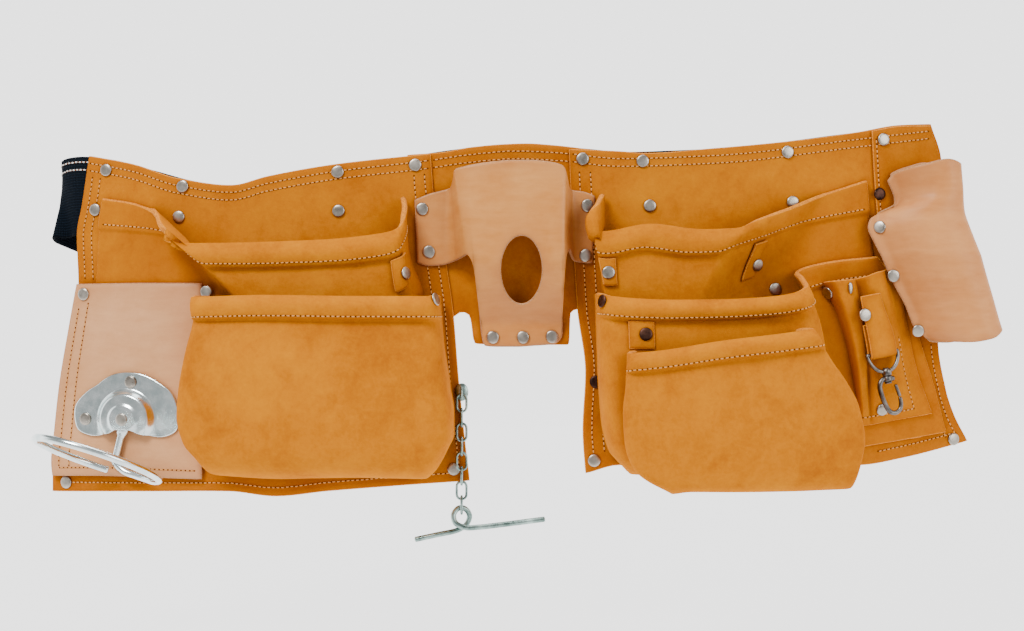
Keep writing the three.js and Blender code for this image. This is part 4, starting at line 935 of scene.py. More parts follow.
def tube(path, radius, sides=14, closed=False, blunt=0.45):
    """Points and faces of a round wire. radius is a number, or one for each point of the path."""
    path = np.asarray(path, float)
    radius = np.broadcast_to(np.asarray(radius, float), len(path)).copy()
    if not closed:
        for end in (0, -1):
            out = unit(path[end] - path[1 if end == 0 else -2])
            tips = [(path[end] + out * radius[end] * blunt * math.sin(a), radius[end] * math.cos(a))
                    for a in (0.5, 0.95, 1.35)]
            spots = np.array([spot for spot, size in tips])
            sizes = np.array([size for spot, size in tips])
            if end == 0:
                path = np.concatenate([spots[::-1], path])
                radius = np.concatenate([sizes[::-1], radius])
            else:
                path = np.concatenate([path, spots])
                radius = np.concatenate([radius, sizes])
        run = unit(np.gradient(path, axis=0))
    else:
        run = unit(np.roll(path, -1, axis=0) - np.roll(path, 1, axis=0))
    side = np.zeros_like(path)
    guess = np.array([0.31, -0.9, 0.22])
    for i in range(len(path)):
        guess = unit(guess - run[i] * (guess @ run[i]))
        side[i] = guess
    up = np.cross(run, side)
    turn = np.arange(sides) * 2 * math.pi / sides
    ring = np.cos(turn)[None, :, None] * side[:, None] + np.sin(turn)[None, :, None] * up[:, None]
    points = (path[:, None] + ring * radius[:, None, None]).reshape(-1, 3)
    return points, ring_faces(len(path), sides, closed)


def ring_faces(count, sides, closed=False):
    """Faces of rings that follow one another, with flat ends where the run is open."""
    index = np.arange(count * sides).reshape(count, sides)
    index = np.concatenate([index, index[:, :1]], axis=1)
    if closed:
        index = np.concatenate([index, index[:1]])
    quads = np.stack([index[:-1, :-1], index[:-1, 1:], index[1:, 1:], index[1:, :-1]], axis=-1)
    faces = quads.reshape(-1, 4).tolist()
    if not closed:
        faces += [list(range(sides))[::-1], [(count - 1) * sides + k for k in range(sides)]]
    return faces


def turned(profile, sides=28):
    """A round piece about the Y axis from rows of (radius, y) that run from back to front."""
    turn = np.arange(sides) * 2 * math.pi / sides
    rings = [np.stack([r * np.cos(turn), np.full(sides, y), r * np.sin(turn)], axis=-1) for r, y in profile]
    return np.concatenate(rings), ring_faces(len(profile), sides)


def joined(shapes):
    points, faces, start = [], [], 0
    for shape_points, shape_faces in shapes:
        points.append(shape_points)
        faces += [[start + i for i in face] for face in shape_faces]
        start += len(shape_points)
    return np.concatenate(points), faces


def stood(points, x, z, lift):
    """Local points, with -Y out of the sheet, at a spot of the wrapped sheet."""
    turn = math.atan(float(bend_slope(x)))
    c, s = math.cos(turn), math.sin(turn)
    points = np.asarray(points, float)
    spun = np.stack([points[..., 0] * c - points[..., 1] * s, points[..., 0] * s + points[..., 1] * c,
                     points[..., 2]], axis=-1)
    return spun + place(x, z, lift)


def hard_piece(name, shape, materials, finish, body, *nodes, picks=None):
    piece = make_object(name, shape[0], shape[1], materials, picks)
    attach(piece, body)
    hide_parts(*nodes)
    return piece


# Hammer plate, pressed with a half-round dome that is open downwards

plate_wall = 1.5
plate_x, plate_z = -0.873 * reach, -0.666 * drop
plate_height = 38.0
dome_radius = 21.0
dome_rise = 6.2
shank_radius = 2.2
shank_room = 0.5
# Angle in degrees and share of the plate's height
plate_outline = [
    [0, 1.29], [25, 1.28], [50, 1.17], [75, 1.12], [90, 1.1], [105, 1.1], [130, 1.08], [150, 1.2],
    [170, 1.33], [190, 1.28], [203, 1.02], [215, 0.66], [235, 0.3], [270, 0.22], [305, 0.3], [325, 0.66],
    [337, 1.02], [350, 1.26],
]
whole_outline = smooth([[a - 360, r] for a, r in plate_outline[-3:]] + plate_outline
                       + [[a + 360, r] for a, r in plate_outline[:3]])
dome_share = smooth([[0, 1.08], [0.42, 1.06], [0.52, 0.88], [0.78, 0.76], [0.9, 0.3], [1, 0]])
turn = np.arange(0, 360, 2.5)
hole = shank_radius + shank_room
rim_size = np.maximum(whole_outline(turn) * plate_height / 1.32, hole + 4)
share = np.linspace(0, 1, 40)[:, None]
radius = hole + (rim_size[None, :] - hole) * share
plate_lift = on_patch + gap + plate_wall
plate_grid = place(plate_x + radius * np.cos(turn * DEGREE), plate_z + radius * np.sin(turn * DEGREE),
                   plate_lift + dome_rise * dome_share(radius / dome_radius))
piece = wall("hammer_plate_metal", plate_grid, plate_wall, [zinc, zinc], around=True)
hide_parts("hammer_plate")


# Hammer loop

loop_wire = 5.0
loop_diameter = 88.0
loop_stem = 35.0
loop_lean = -15 * DEGREE
loop_tip = 17 * DEGREE
loop_raise = 16 * DEGREE
loop_yaw = 15 * DEGREE
loop_clear = 1.6
eye_wall = 2.6
eye_radius = 6.5
wire_lift = gap + 0.6 + loop_wire / 2
ring_radius = (loop_diameter - loop_wire) / 2


def yawed(v):
    c, s = math.cos(loop_yaw), math.sin(loop_yaw)
    return np.array([v[0] * c - v[1] * s, v[0] * s + v[1] * c, v[2]])


stem = np.array([math.sin(loop_lean), 0, -math.cos(loop_lean)])
side = yawed([math.cos(loop_tip), 0, -math.sin(loop_tip)])
level = yawed([0, -math.cos(loop_raise), math.sin(loop_raise)])
centre = stem * loop_stem + level * (ring_radius + loop_clear)
loop_points = [stem * loop_stem * part for part in (0.12, 0.4, 0.7)]
loop_points.append(stem * (loop_stem - 5))
first_turn = 12 * DEGREE
ring_sag = 2.5
ring_steps = 26
for i in range(ring_steps + 1):
    angle = first_turn + i / ring_steps * (2 * math.pi - 1.45 * first_turn)
    point = centre + side * ring_radius * math.sin(angle) - level * ring_radius * math.cos(angle)
    loop_points.append(point - np.array([0, 0, min(1, i / 3) * ring_sag]))
path = curve(loop_points, 260)
half_eye = eye_wall / 2
disc = turned([(hole, half_eye), (eye_radius - 0.4, half_eye), (eye_radius, half_eye - 0.5),
               (eye_radius, 0.5 - half_eye), (eye_radius - 0.4, -half_eye), (hole, -half_eye)], 36)
disc = (disc[0], disc[1][:-2])
blade_down = np.linspace(3, 16, 20)
blade = tube(stem * blade_down[:, None], loop_wire / 2 * (1 + 0.8 * (1 - ease((blade_down - 8) / 6))), 16)
blade = (blade[0] * (1, 0.6, 1), blade[1])
points, faces = joined([tube(path, loop_wire / 2, 16), blade, disc])
points = stood(points + np.array([0, -wire_lift, 0]), plate_x, plate_z, on_patch)
hard_piece("hammer_loop_wire", (points, faces), [zinc], "zinc", "hammer_loop", "hammer_loop")

cap_radius = 4.3
cap_height = 2.0


def cap_profile(foot=0.0):
    rows = [(0.95, 0), (1, 0.08), (1, 0.26), (0.95, 0.46), (0.84, 0.57), (0.66, 0.64), (0.42, 0.68),
            (0.2, 0.7)]
    return [(cap_radius * r, foot - cap_height * h) for r, h in rows]


pivot_foot = -(gap + plate_wall + dome_rise + gap)
pivot = turned([(shank_radius, -gap), (shank_radius, pivot_foot)] + cap_profile(pivot_foot))
pivot = (stood(pivot[0], plate_x, plate_z, on_patch), pivot[1])
hard_piece("hammer_pivot", pivot, [nickel], "nickel", "apron", "hammer_pivot_rivet")


# Centre holder: ears on the panels, a tunnel between them, and a tab riveted below

holder_depth = 24.0
ear_lift = panel_lift + gap + tan_wall
tab_lift = centre_lift + gap + tan_wall
# A row for each column: across and up at its top, across and up at its foot, share of the depth
holder_columns = np.array([
    [-0.217, -0.046, -0.211, -0.22, 0], [-0.182, -0.029, -0.188, -0.228, 0],
    [-0.148, -0.018, -0.155, -0.225, 0], [-0.139, -0.012, -0.131, -0.215, 0.12],
    [-0.132, 0.008, -0.115, -0.207, 0.5], [-0.128, 0.03, -0.101, -0.2, 0.8],
    [-0.108, 0.038, -0.085, -0.235, 0.92], [-0.098, 0.041, -0.079, -0.3, 0.95],
    [-0.085, 0.044, -0.069, -0.4, 0.97], [-0.072, 0.047, -0.06, -0.452, 0.98],
    [-0.04, 0.052, -0.03, -0.455, 1], [0, 0.056, 0.01, -0.455, 1], [0.04, 0.056, 0.05, -0.452, 1],
    [0.08, 0.052, 0.094, -0.447, 0.98], [0.1, 0.047, 0.112, -0.42, 0.97],
    [0.11, 0.043, 0.1145, -0.33, 0.95], [0.117, 0.036, 0.1165, -0.27, 0.92],
    [0.124, 0.008, 0.121, -0.205, 0.75], [0.129, -0.012, 0.13, -0.185, 0.35],
    [0.136, -0.02, 0.142, -0.215, 0.05], [0.16, -0.024, 0.162, -0.219, 0],
    [0.184, -0.035, 0.179, -0.22, 0],
])
tunnel_out = smooth([[-0.455, 0], [-0.4, 0], [-0.35, 0.3], [-0.28, 0.75], [-0.2, 1], [0.06, 0.95]])
tab_step = smooth([[-0.36, 0], [-0.24, 1]])
steps = share_steps(np.hypot(np.diff(holder_columns[:, 0]) * reach,
                             np.diff(holder_columns[:, 4]) * holder_depth), 1.7)
stations = [smooth(list(enumerate(holder_columns[:, k])))(steps)[None, :] for k in range(5)]
t = np.linspace(0, 1, 76)[:, None]
x = (stations[0] + (stations[2] - stations[0]) * t) * reach
up = stations[1] + (stations[3] - stations[1]) * t
z = up * drop
hole_x, hole_z = 0.021 * reach, -0.244 * drop
hole_wide, hole_tall = 14.2, 23.2
away = np.hypot((x - hole_x) / hole_wide, (z - hole_z) / hole_tall)
cell_away = (away[:-1, :-1] + away[1:, :-1] + away[1:, 1:] + away[:-1, 1:]) / 4
in_front = np.broadcast_to(np.abs(x[:-1, :-1] - hole_x) < 2 * hole_wide, cell_away.shape)
keep = ~((cell_away < 1) & in_front)


def corners_of(cells):
    """The points that are a corner of at least one of the cells."""
    points = np.zeros(np.add(cells.shape, 1), bool)
    for rows in (slice(None, -1), slice(1, None)):
        for columns in (slice(None, -1), slice(1, None)):
            points[rows, columns] |= cells
    return points


on_rim = corners_of(~keep) & corners_of(keep)
x = np.where(on_rim, hole_x + (x - hole_x) / away, x)
z = np.where(on_rim, hole_z + (z - hole_z) / away, z)
lift = tab_lift + (ear_lift - tab_lift) * tab_step(z / drop)
lift = lift + holder_depth * stations[4] * tunnel_out(z / drop)
holder_grid = place(x, z, lift)
# Painted shade: darker near the rims and round the edge of the hole
shade = np.maximum(rim_shade(holder_grid, 3), np.exp(-np.abs(away - 1) * 5))
hide_piece("centre_holder", "holder", holder_grid, "folded",
           ["left_back_panel", "right_back_panel", "centre_panel"], shade, keep)


# Holster: one leather strip rolled into a tube, its front flap riveted over its back layer

holster_depth = 27.0
holster_width = 62.0
holster_edges = [
    [[0.85, 0.015], [0.862, 0.035], [0.904, 0.057], [0.945, 0.069], [0.975, 0.061], [0.99, 0.044]],
    [[0.99, 0.044], [0.991, 0.015], [0.997, -0.051], [1.011, -0.124], [1.036, -0.238], [1.059, -0.333],
     [1.075, -0.4]],
    [[0.925, -0.43], [0.948, -0.443], [0.983, -0.445], [1.035, -0.432], [1.075, -0.4]],
    [[0.85, 0.015], [0.866, -0.04], [0.862, -0.062], [0.81, -0.09], [0.8, -0.12], [0.812, -0.164],
     [0.835, -0.232], [0.857, -0.289], [0.88, -0.34], [0.904, -0.408], [0.925, -0.43]],
]
# A row for each step round the strip: share across, share of the depth, 1 on the front flap
holster_sections = np.array([
    [0, 0, 1], [0.08, 0.03, 1], [0.18, 0.25, 1], [0.32, 0.6, 1], [0.5, 0.88, 1], [0.7, 1, 1],
    [0.86, 0.95, 1], [0.96, 0.75, 0.9], [1, 0.5, 0.6], [0.985, 0.22, 0.3], [0.9, 0.04, 0],
    [0.7, 0, 0], [0.4, 0, 0], [0.12, 0, 0],
])
holster_back = smooth([[-0.2, on_sleeve_foot + hem_extra + 3 * gap], [-0.08, on_panel + gap]])
holster_cut = patch_between(holster_edges)
flap_lift = tan_wall + gap + tan_wall
steps = share_steps(np.hypot(np.diff(holster_sections[:, 0]) * holster_width,
                             np.diff(holster_sections[:, 1]) * holster_depth), 1.8)
along, out, front = [smooth(list(enumerate(holster_sections[:, k])))(steps)[None, :] for k in range(3)]
t = np.linspace(0, 1, 80)[:, None]
flat = holster_cut(along, t)
lift = holster_back(flat[..., 1] / drop) + flap_lift * front + holster_depth * out
holster_grid = place(flat[..., 0], flat[..., 1], lift)
hide_piece("holster", "holster", holster_grid, "folded", ["right_end_panel", "right_back_panel"],
           rim_shade(holster_grid, 3))


# Belt and buckle

band_up = smooth([
    [-0.976, 0.092], [-0.868, 0.064], [-0.761, 0.021], [-0.634, -0.001], [-0.551, 0.023], [-0.399, 0.055],
    [-0.205, 0.083], [-0.095, 0.103], [0.01, 0.113], [0.095, 0.109], [0.244, 0.091], [0.458, 0.101],
    [0.79, 0.154], [0.964, 0.184],
])
# The belt's closed run behind the panels: across, back and up, in shares of reach, depth and height
back_stations = [
    [0.962, 0.345, 0.28], [0.975, 0.4, 0.27], [0.965, 0.46, 0.26], [0.93, 0.52, 0.25], [0.8, 0.64, 0.17],
    [0.6, 0.79, 0], [0.4, 0.9, -0.2], [0.25, 0.96, -0.38], [0.13, 1, -0.48], [0, 1, -0.5],
    [-0.13, 1, -0.5], [-0.25, 0.97, -0.53], [-0.4, 0.92, -0.6], [-0.6, 0.83, -0.72], [-0.78, 0.74, -0.7],
    [-0.92, 0.65, -0.52], [-1, 0.61, -0.33], [-1.05, 0.57, -0.21], [-1.07, 0.52, -0.15],
    [-1.055, 0.465, -0.12],
]
belt_across = -1.015 + 1.95 * np.linspace(0, 1, 21)
front_line = place(belt_across * reach, band_up(belt_across) * drop - web_height / 2, web_wall)
back_line = np.array(back_stations) * (reach, loop_depth, web_height)
belt_line = np.concatenate([front_line, back_line])
run = unit(np.roll(belt_line, -1, axis=0) - np.roll(belt_line, 1, axis=0))
rise = np.array([0, 0, 1.0]) - run * run[:, 2:]
rise[1:len(front_line) - 1] = (0, 0, 1)
fine = curve(np.concatenate([belt_line, unit(rise)], axis=1), 620, closed=True)
line, rise = fine[:, :3], unit(fine[:, 3:])
heights = np.linspace(0.5, -0.5, 15)[:, None]
belt_grid = line[None] + heights[..., None] * rise[None] * web_height
steps = np.linalg.norm(np.roll(line, -1, axis=0) - line, axis=1)
distance = (np.cumsum(steps) - steps)[None, :] * np.ones_like(heights)
across_web = heights * web_height * np.ones((1, len(line)))
piece = wall("web_belt_weave", belt_grid, web_wall, [webbing, webbing], around=True,
             marks={"run": distance, "rise": across_web})
declare(piece, belt_grid, web_wall, "laid", [], "webbing", "web_belt")

slot_room = 1.2
slot_half = np.array([web_wall / 2 + slot_room, web_height / 2 + slot_room])
frame_half = slot_half + (3.5, 4)
buckle_half = 17.0


def round_box(half, corner, x):
    """A loop round a box in Y and Z with rounded corners."""
    turn = (np.arange(32) + 0.5) * 2 * math.pi / 32
    inner = np.maximum(half - corner, 0.01)
    y = np.sign(np.cos(turn)) * inner[0] + np.cos(turn) * corner
    z = np.sign(np.sin(turn)) * inner[1] + np.sin(turn) * corner
    return np.stack([np.full(32, x), y, z], axis=-1)


buckle_rings = [round_box(frame_half - 1, 1.0, -buckle_half), round_box(frame_half, 1.6, 1 - buckle_half),
                round_box(frame_half, 1.6, buckle_half - 1), round_box(frame_half - 1, 1.0, buckle_half),
                round_box(slot_half + 0.5, 0.6, buckle_half), round_box(slot_half, 0.5, buckle_half - 1),
                round_box(slot_half, 0.5, 1 - buckle_half), round_box(slot_half + 0.5, 0.6, -buckle_half)]
points = np.concatenate(buckle_rings) + np.array([0, loop_depth - web_wall / 2, -0.5 * web_height])
hard_piece("belt_buckle_frame", (points, [face[::-1] for face in ring_faces(8, 32, True)]), [black_plastic],
           "black_plastic", "apron", "belt_buckle")


# Snap hook on its folded strap

eye_wire = 2.6
eye_width = 25.0
eye_drop = 13.0
hook_wire = 3.4
hook_width = 13.8
hook_length = 28.0
boss_radius = 3.2
boss_length = 5.0
gate_wire = 2.4
strap_width = 18.0
strap_drop = 40.0
fold_outer = eye_wire / 2 + gap + suede_wall
snap_x, snap_z, snap_lift = 0.815 * reach, -0.475 * drop, on_sleeve_foot + sleeve_depth + gap
strap_slant = -10 * DEGREE
eye_lean = 8 * DEGREE
boss_down = eye_drop * math.cos(eye_lean)
boss_out = eye_drop * math.sin(eye_lean)


def in_snap(points):
    """Points of the snap's own group, set on the apron."""
    c, s = math.cos(strap_slant), math.sin(strap_slant)
    spun = np.stack([points[..., 0] * c + points[..., 2] * s, points[..., 1] - fold_outer,
                     -points[..., 0] * s + points[..., 2] * c], axis=-1)
    return stood(spun, snap_x, snap_z, snap_lift)


def snap_piece(name, points, faces, body, node):
    hard_piece(name, (in_snap(points), faces), [gunmetal], "gunmetal", body, node)


arc = np.linspace(0, math.pi, 17)[1:-1]
strap_y = np.concatenate([np.full(24, -fold_outer), -fold_outer * np.cos(arc), np.full(12, fold_outer)])
strap_z = np.concatenate([np.linspace(strap_drop, 0, 24), -fold_outer * np.sin(arc),
                          np.linspace(0, strap_drop * 0.5, 12)])
upper_part = ease((strap_z[:, None] - 6) / 34)
strap_x = np.linspace(-0.5, 0.5, 13)[None, :] * strap_width * (1 - 0.22 * upper_part) - 3 * upper_part
strap_points = np.stack([strap_x, strap_y[:, None] + 0 * strap_x, strap_z[:, None] + 0 * strap_x], axis=-1)
strap_grid = in_snap(strap_points)
hide_piece("hook_strap", "suede", strap_grid, "folded", ["tool_sleeve"], rim_shade(strap_grid, 2))

turn = np.arange(64) * 2 * math.pi / 64
down = np.minimum(0, np.sin(turn)) * eye_drop
bow = np.stack([np.cos(turn) * (eye_width - eye_wire) / 2, down * math.sin(eye_lean),
                down * math.cos(eye_lean)], axis=-1)
pin_radius = 1.3
pin_room = 0.35
collar_length = 3.4
head_length = 1.4
half_boss = boss_length / 2
collar_foot = half_boss + collar_length + 2 * pin_room
pin = turned([(0.4, eye_wire), (boss_radius * 0.6, eye_wire), (boss_radius * 0.92, 1.3), (boss_radius, 0.2),
              (boss_radius, 0.4 - half_boss), (boss_radius * 0.9, -half_boss), (pin_radius, -half_boss),
              (pin_radius, -collar_foot), (boss_radius * 0.75, -collar_foot),
              (boss_radius * 0.75, -collar_foot - head_length), (0.4, -collar_foot - head_length)], 24)


def hung(points):
    """Turned points, with their Y axis set along Z."""
    return np.stack([points[..., 0], -points[..., 2], points[..., 1]], axis=-1)


pin = (hung(pin[0]) + np.array([0, -boss_out, -boss_down]), pin[1])
points, faces = joined([tube(curve(bow, 90, True), eye_wire / 2, 12, True), pin])
snap_piece("hook_eye_wire", points, faces, "snap_eye", "hook_eye")

hook_at = np.array([0, -boss_out, -boss_down - half_boss - pin_room - collar_length])
# Across and up, in shares of the hook's width and length
hook_shares = np.array([
    [0.3, -0.01], [0, 0.02], [-0.3, 0], [-0.47, -0.14], [-0.46, -0.4], [-0.34, -0.7], [-0.16, -0.93],
    [0.12, -1], [0.4, -0.92], [0.5, -0.74], [0.49, -0.6],
])
hook_path = np.stack([hook_shares[:, 0] * hook_width, np.zeros(len(hook_shares)),
                      hook_wire * 0.35 + hook_shares[:, 1] * hook_length * 0.84], axis=-1)
collar = turned([(pin_radius + pin_room, 0), (boss_radius * 1.15, 0), (boss_radius * 1.1, 1),
                 (boss_radius, collar_length - 0.5), (boss_radius * 0.9, collar_length),
                 (pin_radius + pin_room, collar_length)][::-1], 24)
collar = (hung(collar[0]), collar[1][:-2])
thickness = hook_wire / 2 * np.interp(np.linspace(0, 1, 90), [0, 0.3, 0.75, 1], [1, 1, 0.95, 0.78])
points, faces = joined([tube(curve(hook_path, 90), thickness, 14), collar])
snap_piece("snap_hook_body", points + hook_at, faces, "snap_hook", "snap_hook")

gate_top = np.array([0.36 * hook_width, 0, -0.12 * hook_length])
gate_tip = np.array([0.49 * hook_width, 0, -0.43 * hook_length])
gate_path = gate_top + (gate_tip - gate_top) * np.linspace(0.06, 0.94, 12)[:, None]
points, faces = tube(gate_path, gate_wire / 2, 12, blunt=0.5)
snap_piece("snap_gate_wire", points + hook_at, faces, "snap_gate", "snap_gate")


# Chain with its staple and T-bar

link_wire = 1.7
link_width = 8.2
link_length = 13.5
link_count = 8
bar_wire = 3.7
bar_span = 88.0
chain_x, chain_z = -0.113 * reach, -0.585 * drop
link_pitch = link_length - 2 * link_wire - gap
link_bend = (link_width - link_wire) / 2
link_straight = (link_length - link_width) / 2
chain_out = np.array([0, -(link_width / 2 + 0.8), 0])


def chain_piece(name, points, faces, node):
    shape = (stood(points, chain_x, chain_z, panel_lift), faces)
    hard_piece(name, shape, [zinc_chain], "zinc", "apron", node)


turn = np.arange(48) * 2 * math.pi / 48
staple_ring = np.stack([0 * turn, np.cos(turn) * link_bend, np.sin(turn) * link_bend], axis=-1) + chain_out
staple_plate = turned([(1, -gap), (5.6, -gap), (5.9, -gap - 0.4), (5.9, -gap - 1), (5.5, -gap - 1.4),
                       (1, -gap - 1.4)], 24)
staple_plate = (staple_plate[0] * (0.76, 1, 1.02), staple_plate[1])
points, faces = joined([tube(staple_ring, link_wire / 2, 10, True), staple_plate])
chain_piece("chain_staple_metal", points, faces, "chain_staple")

turn = (np.arange(40) + 0.5) * 2 * math.pi / 40
link = np.stack([np.cos(turn) * link_bend, 0 * turn,
                 np.sin(turn) * link_bend + np.sign(np.sin(turn)) * link_straight], axis=-1)
link = curve(link, 56, True)
first_link = -link_bend + link_wire + gap - (link_length - link_wire) / 2
for i in range(link_count):
    points = link if i % 2 == 0 else link[:, [1, 0, 2]]
    at = chain_out + np.array([0, 0, first_link - i * link_pitch])
    points, faces = tube(points + at, link_wire / 2, 10, True)
    name = f"chain_link_{i + 1:02d}"
    chain_piece(name + "_wire", points, faces, name)

# Across, out of the sheet and up, in shares of the bar's span
bar_shares = np.array([
    [-0.35, 0, -0.185], [-0.19, 0, -0.15], [-0.03, -0.012, -0.115], [0.035, -0.03, -0.075],
    [0.06, -0.028, -0.01], [0.03, -0.012, 0.045], [-0.02, 0, 0.055], [-0.06, 0.014, 0.01],
    [-0.045, 0.03, -0.055], [0.03, 0.032, -0.09], [0.12, 0.02, -0.09], [0.32, 0.005, -0.07],
    [0.63, 0, -0.031],
])
bar_points = bar_shares * (bar_span, -bar_span, bar_span)
last_link_foot = first_link - (link_count - 1) * link_pitch - link_length / 2
bar_drop = last_link_foot + 1.5 * link_wire + bar_wire / 2 - 0.055 * bar_span + gap
bar_at = chain_out + np.array([0, 0, bar_drop])
points, faces = tube(curve(bar_points, 200) + bar_at, bar_wire / 2, 14)
chain_piece("t_bar_wire", points, faces, "t_bar")


# Rivets

def spot_on(grid, across, up):
    """The point of a grid nearest to a place seen from the front, and the normal there."""
    normals = grid_normals(grid)
    far = np.hypot(grid[..., 0] - across * reach, grid[..., 2] - up * drop)
    far = far + np.where(normals[..., 1] < 0, 0, 1000)
    i, j = np.unravel_index(far.argmin(), far.shape)
    return grid[i, j], normals[i, j]


def sheet_spot(across, up, lift):
    x = across * reach
    slope = float(bend_slope(x))
    return place(x, up * drop, lift), unit(np.array([slope, -1.0, 0]))


def seated(points, at, normal, size=1.0, squeeze=1.0):
    """Local points, with -Y out, set on a surface."""
    right = unit(np.cross(-normal, (0, 0, 1.0)))
    upward = np.cross(right, -normal)
    p = np.asarray(points) * size
    return at + p[:, :1] * right * squeeze - p[:, 1:2] * normal + p[:, 2:3] * upward


# The CAD's cap rivets: node, across, up and the surface that it sits on
caps = [
    ["band_rivet_1", -0.933, 0.051, panel_lift], ["band_rivet_2", -0.748, -0.001, panel_lift],
    ["band_rivet_3", -0.392, 0.035, panel_lift], ["band_rivet_4", -0.218, 0.054, panel_lift],
    ["band_rivet_5", 0.159, 0.071, panel_lift], ["band_rivet_6", 0.294, 0.065, panel_lift],
    ["band_rivet_7", 0.622, 0.094, panel_lift], ["band_rivet_8", 0.845, 0.135, on_panel],
    ["panel_rivet_1", -0.96, -0.063, panel_lift], ["panel_rivet_2", -0.757, -0.088, panel_lift],
    ["panel_rivet_3", -0.39, -0.075, panel_lift], ["panel_rivet_4", 0.31, -0.061, panel_lift],
    ["panel_rivet_5", 0.634, -0.048, panel_lift], ["corner_rivet_left", -1.033, -0.856, panel_lift],
    ["corner_rivet_right", 1.022, -0.73, panel_lift], ["patch_rivet", -0.98, -0.308, on_patch],
    ["plate_rivet_top", -0.862, -0.56, plate_lift], ["plate_rivet_side", -0.972, -0.668, plate_lift],
    ["tab_rivet_left", -0.043, -0.431, tab_lift], ["tab_rivet_middle", 0.025, -0.431, tab_lift],
    ["tab_rivet_right", 0.09, -0.429, tab_lift],
]
cap = turned(cap_profile())
cap_room = 0.1
nickel_caps, dark_caps = [], []


def add_cap(at, normal, dark=0, size=1.0, squeeze=1.0):
    (dark_caps if dark else nickel_caps).append((seated(cap[0], at, normal, size, squeeze), cap[1]))


for name, across, up, lift in caps:
    add_cap(*sheet_spot(across, up, lift + gap))

# Caps on shaped pieces: across, up, and 1 for a blackened one
shaped_caps = [
    (bag_grids["left_front_pocket"], [[-0.165, -0.326, 0]]),
    (holster_grid, [[0.834, -0.121, 0], [0.866, -0.259, 0], [0.928, -0.414, 0]]),
    (holder_grid, [[-0.202, -0.071, 0], [-0.187, -0.19, 0], [0.168, -0.062, 0], [0.164, -0.2, 0]]),
    (sleeve_grid, [[0.7, -0.312, 0], [0.843, -0.64, 0]]),
    (strap_grid, [[0.772, -0.373, 0]]),
    (tab_grids["left_pocket_tab"], [[-0.234, -0.253, 0]]),
    (tab_grids["right_pocket_tab"], [[0.212, -0.251, 0]]),
    (tab_grids["slanted_tab"], [[0.556, -0.228, 0]]),
    (bag_grids["right_rear_pocket"], [[0.598, -0.29, 0]]),
    (tab_grids["middle_pocket_tab"], [[0.287, -0.42, 1]]),
    (bag_grids["right_middle_pocket"], [[0.194, -0.328, 1]]),
]
for grid, spots in shaped_caps:
    for across, up, dark in spots:
        at, normal = spot_on(grid, across, up)
        add_cap(at + normal * cap_room, normal, dark)
# More caps on flat pieces: across, up, surface, and 1 for a blackened one
flat_caps = [[-0.131, -0.802, panel_lift, 0], [0.836, -0.021, on_panel, 1], [0.189, -0.556, panel_lift, 1],
             [0.185, -0.778, panel_lift, 0], [-0.686, -0.302, on_patch, 0]]
for across, up, lift, dark in flat_caps:
    add_cap(*sheet_spot(across, up, lift + cap_room), dark)
at, normal = spot_on(sleeve_grid, 0.761, -0.292)
add_cap(at + normal * 0.4, normal, size=0.9, squeeze=0.4)
hard_piece("cap_rivets", joined(nickel_caps), [nickel], "nickel", "apron", *[row[0] for row in caps])
hard_piece("dark_rivets", joined(dark_caps), [dark_nickel], "nickel", "apron")


# Stitches: short threads along a line, with a dark disc of painted shade at a needle hole between each two

stitch_pitch = 3.2
thread_size = 0.46
hole_length, hole_width = 0.8, 0.6
hole_lift = 0.05
look_ahead = 0.6
wander_size = 0.06
stations = np.array([-1.18, -0.98, -0.5, 0.5, 0.98, 1.18])
widths = np.array([0.12, 0.7, 1, 1, 0.7, 0.12]) * thread_size
rises = np.array([-0.34, -0.08, 0.16, 0.16, -0.08, -0.34])
hexagon = np.arange(6) * math.pi / 3
thread_faces = ring_faces(6, 6)
stitch_random = np.random.default_rng(5)


def stitches(points, normals):
    """Points of the threads, six rings of six each, and of the dark discs of painted shade at the needle
    holes, six each, along a line.
    """
    steps = np.linalg.norm(np.diff(points, axis=0), axis=1)
    along = np.concatenate([[0], np.cumsum(steps)])
    count = max(2, int(along[-1] / stitch_pitch))
    centres = (np.arange(count) + 0.5) * along[-1] / count
    holes = np.arange(count + 1) * along[-1] / count

    def at(values, where):
        return np.stack([np.interp(where, along, values[:, k]) for k in range(3)], axis=-1)

    run = unit(at(points, centres + look_ahead) - at(points, centres - look_ahead))
    normal = unit(at(normals, centres))
    side = unit(np.cross(normal, run))
    wander = stitch_random.normal(0, wander_size, (count, 2))
    middle = at(points, centres) + side * wander[:, :1]
    run = unit(run + side * wander[:, 1:])
    up = rises[:, None] + widths[:, None] * np.sin(hexagon)
    aside = widths[:, None] * np.cos(hexagon)
    ring = (middle[:, None, None] + stations[None, :, None, None] * run[:, None, None]
            + up[None, :, :, None] * normal[:, None, None] + aside[None, :, :, None] * side[:, None, None])
    hole_normal = unit(at(normals, holes))
    ahead = at(points, np.minimum(holes + look_ahead, along[-1]))
    hole_run = unit(ahead - at(points, np.maximum(holes - look_ahead, 0)))
    hole_side = np.cross(hole_normal, hole_run)
    disc = (at(points, holes)[:, None] + hole_normal[:, None] * hole_lift
            + hole_length * np.cos(hexagon)[None, :, None] * hole_run[:, None]
            + hole_width * np.sin(hexagon)[None, :, None] * hole_side[:, None])
    return ring.reshape(-1, 3), disc.reshape(-1, 3)


def sew(name, lines, threads, slot_name):
    """One piece with all the stitches of some lines."""
    rings, discs = zip(*[stitches(points, normals) for points, normals in lines])
    rings, discs = np.concatenate(rings), np.concatenate(discs)
    faces = [[start + k for k in face] for start in range(0, len(rings), 36) for face in thread_faces]
    holes = [[len(rings) + start + k for k in range(6)] for start in range(0, len(discs), 6)]
    picks = [0] * len(faces) + [1] * len(holes)
    hard_piece(name, (np.concatenate([rings, discs]), faces + holes), [threads, needle_hole_shade], slot_name,
               "apron", picks=picks)


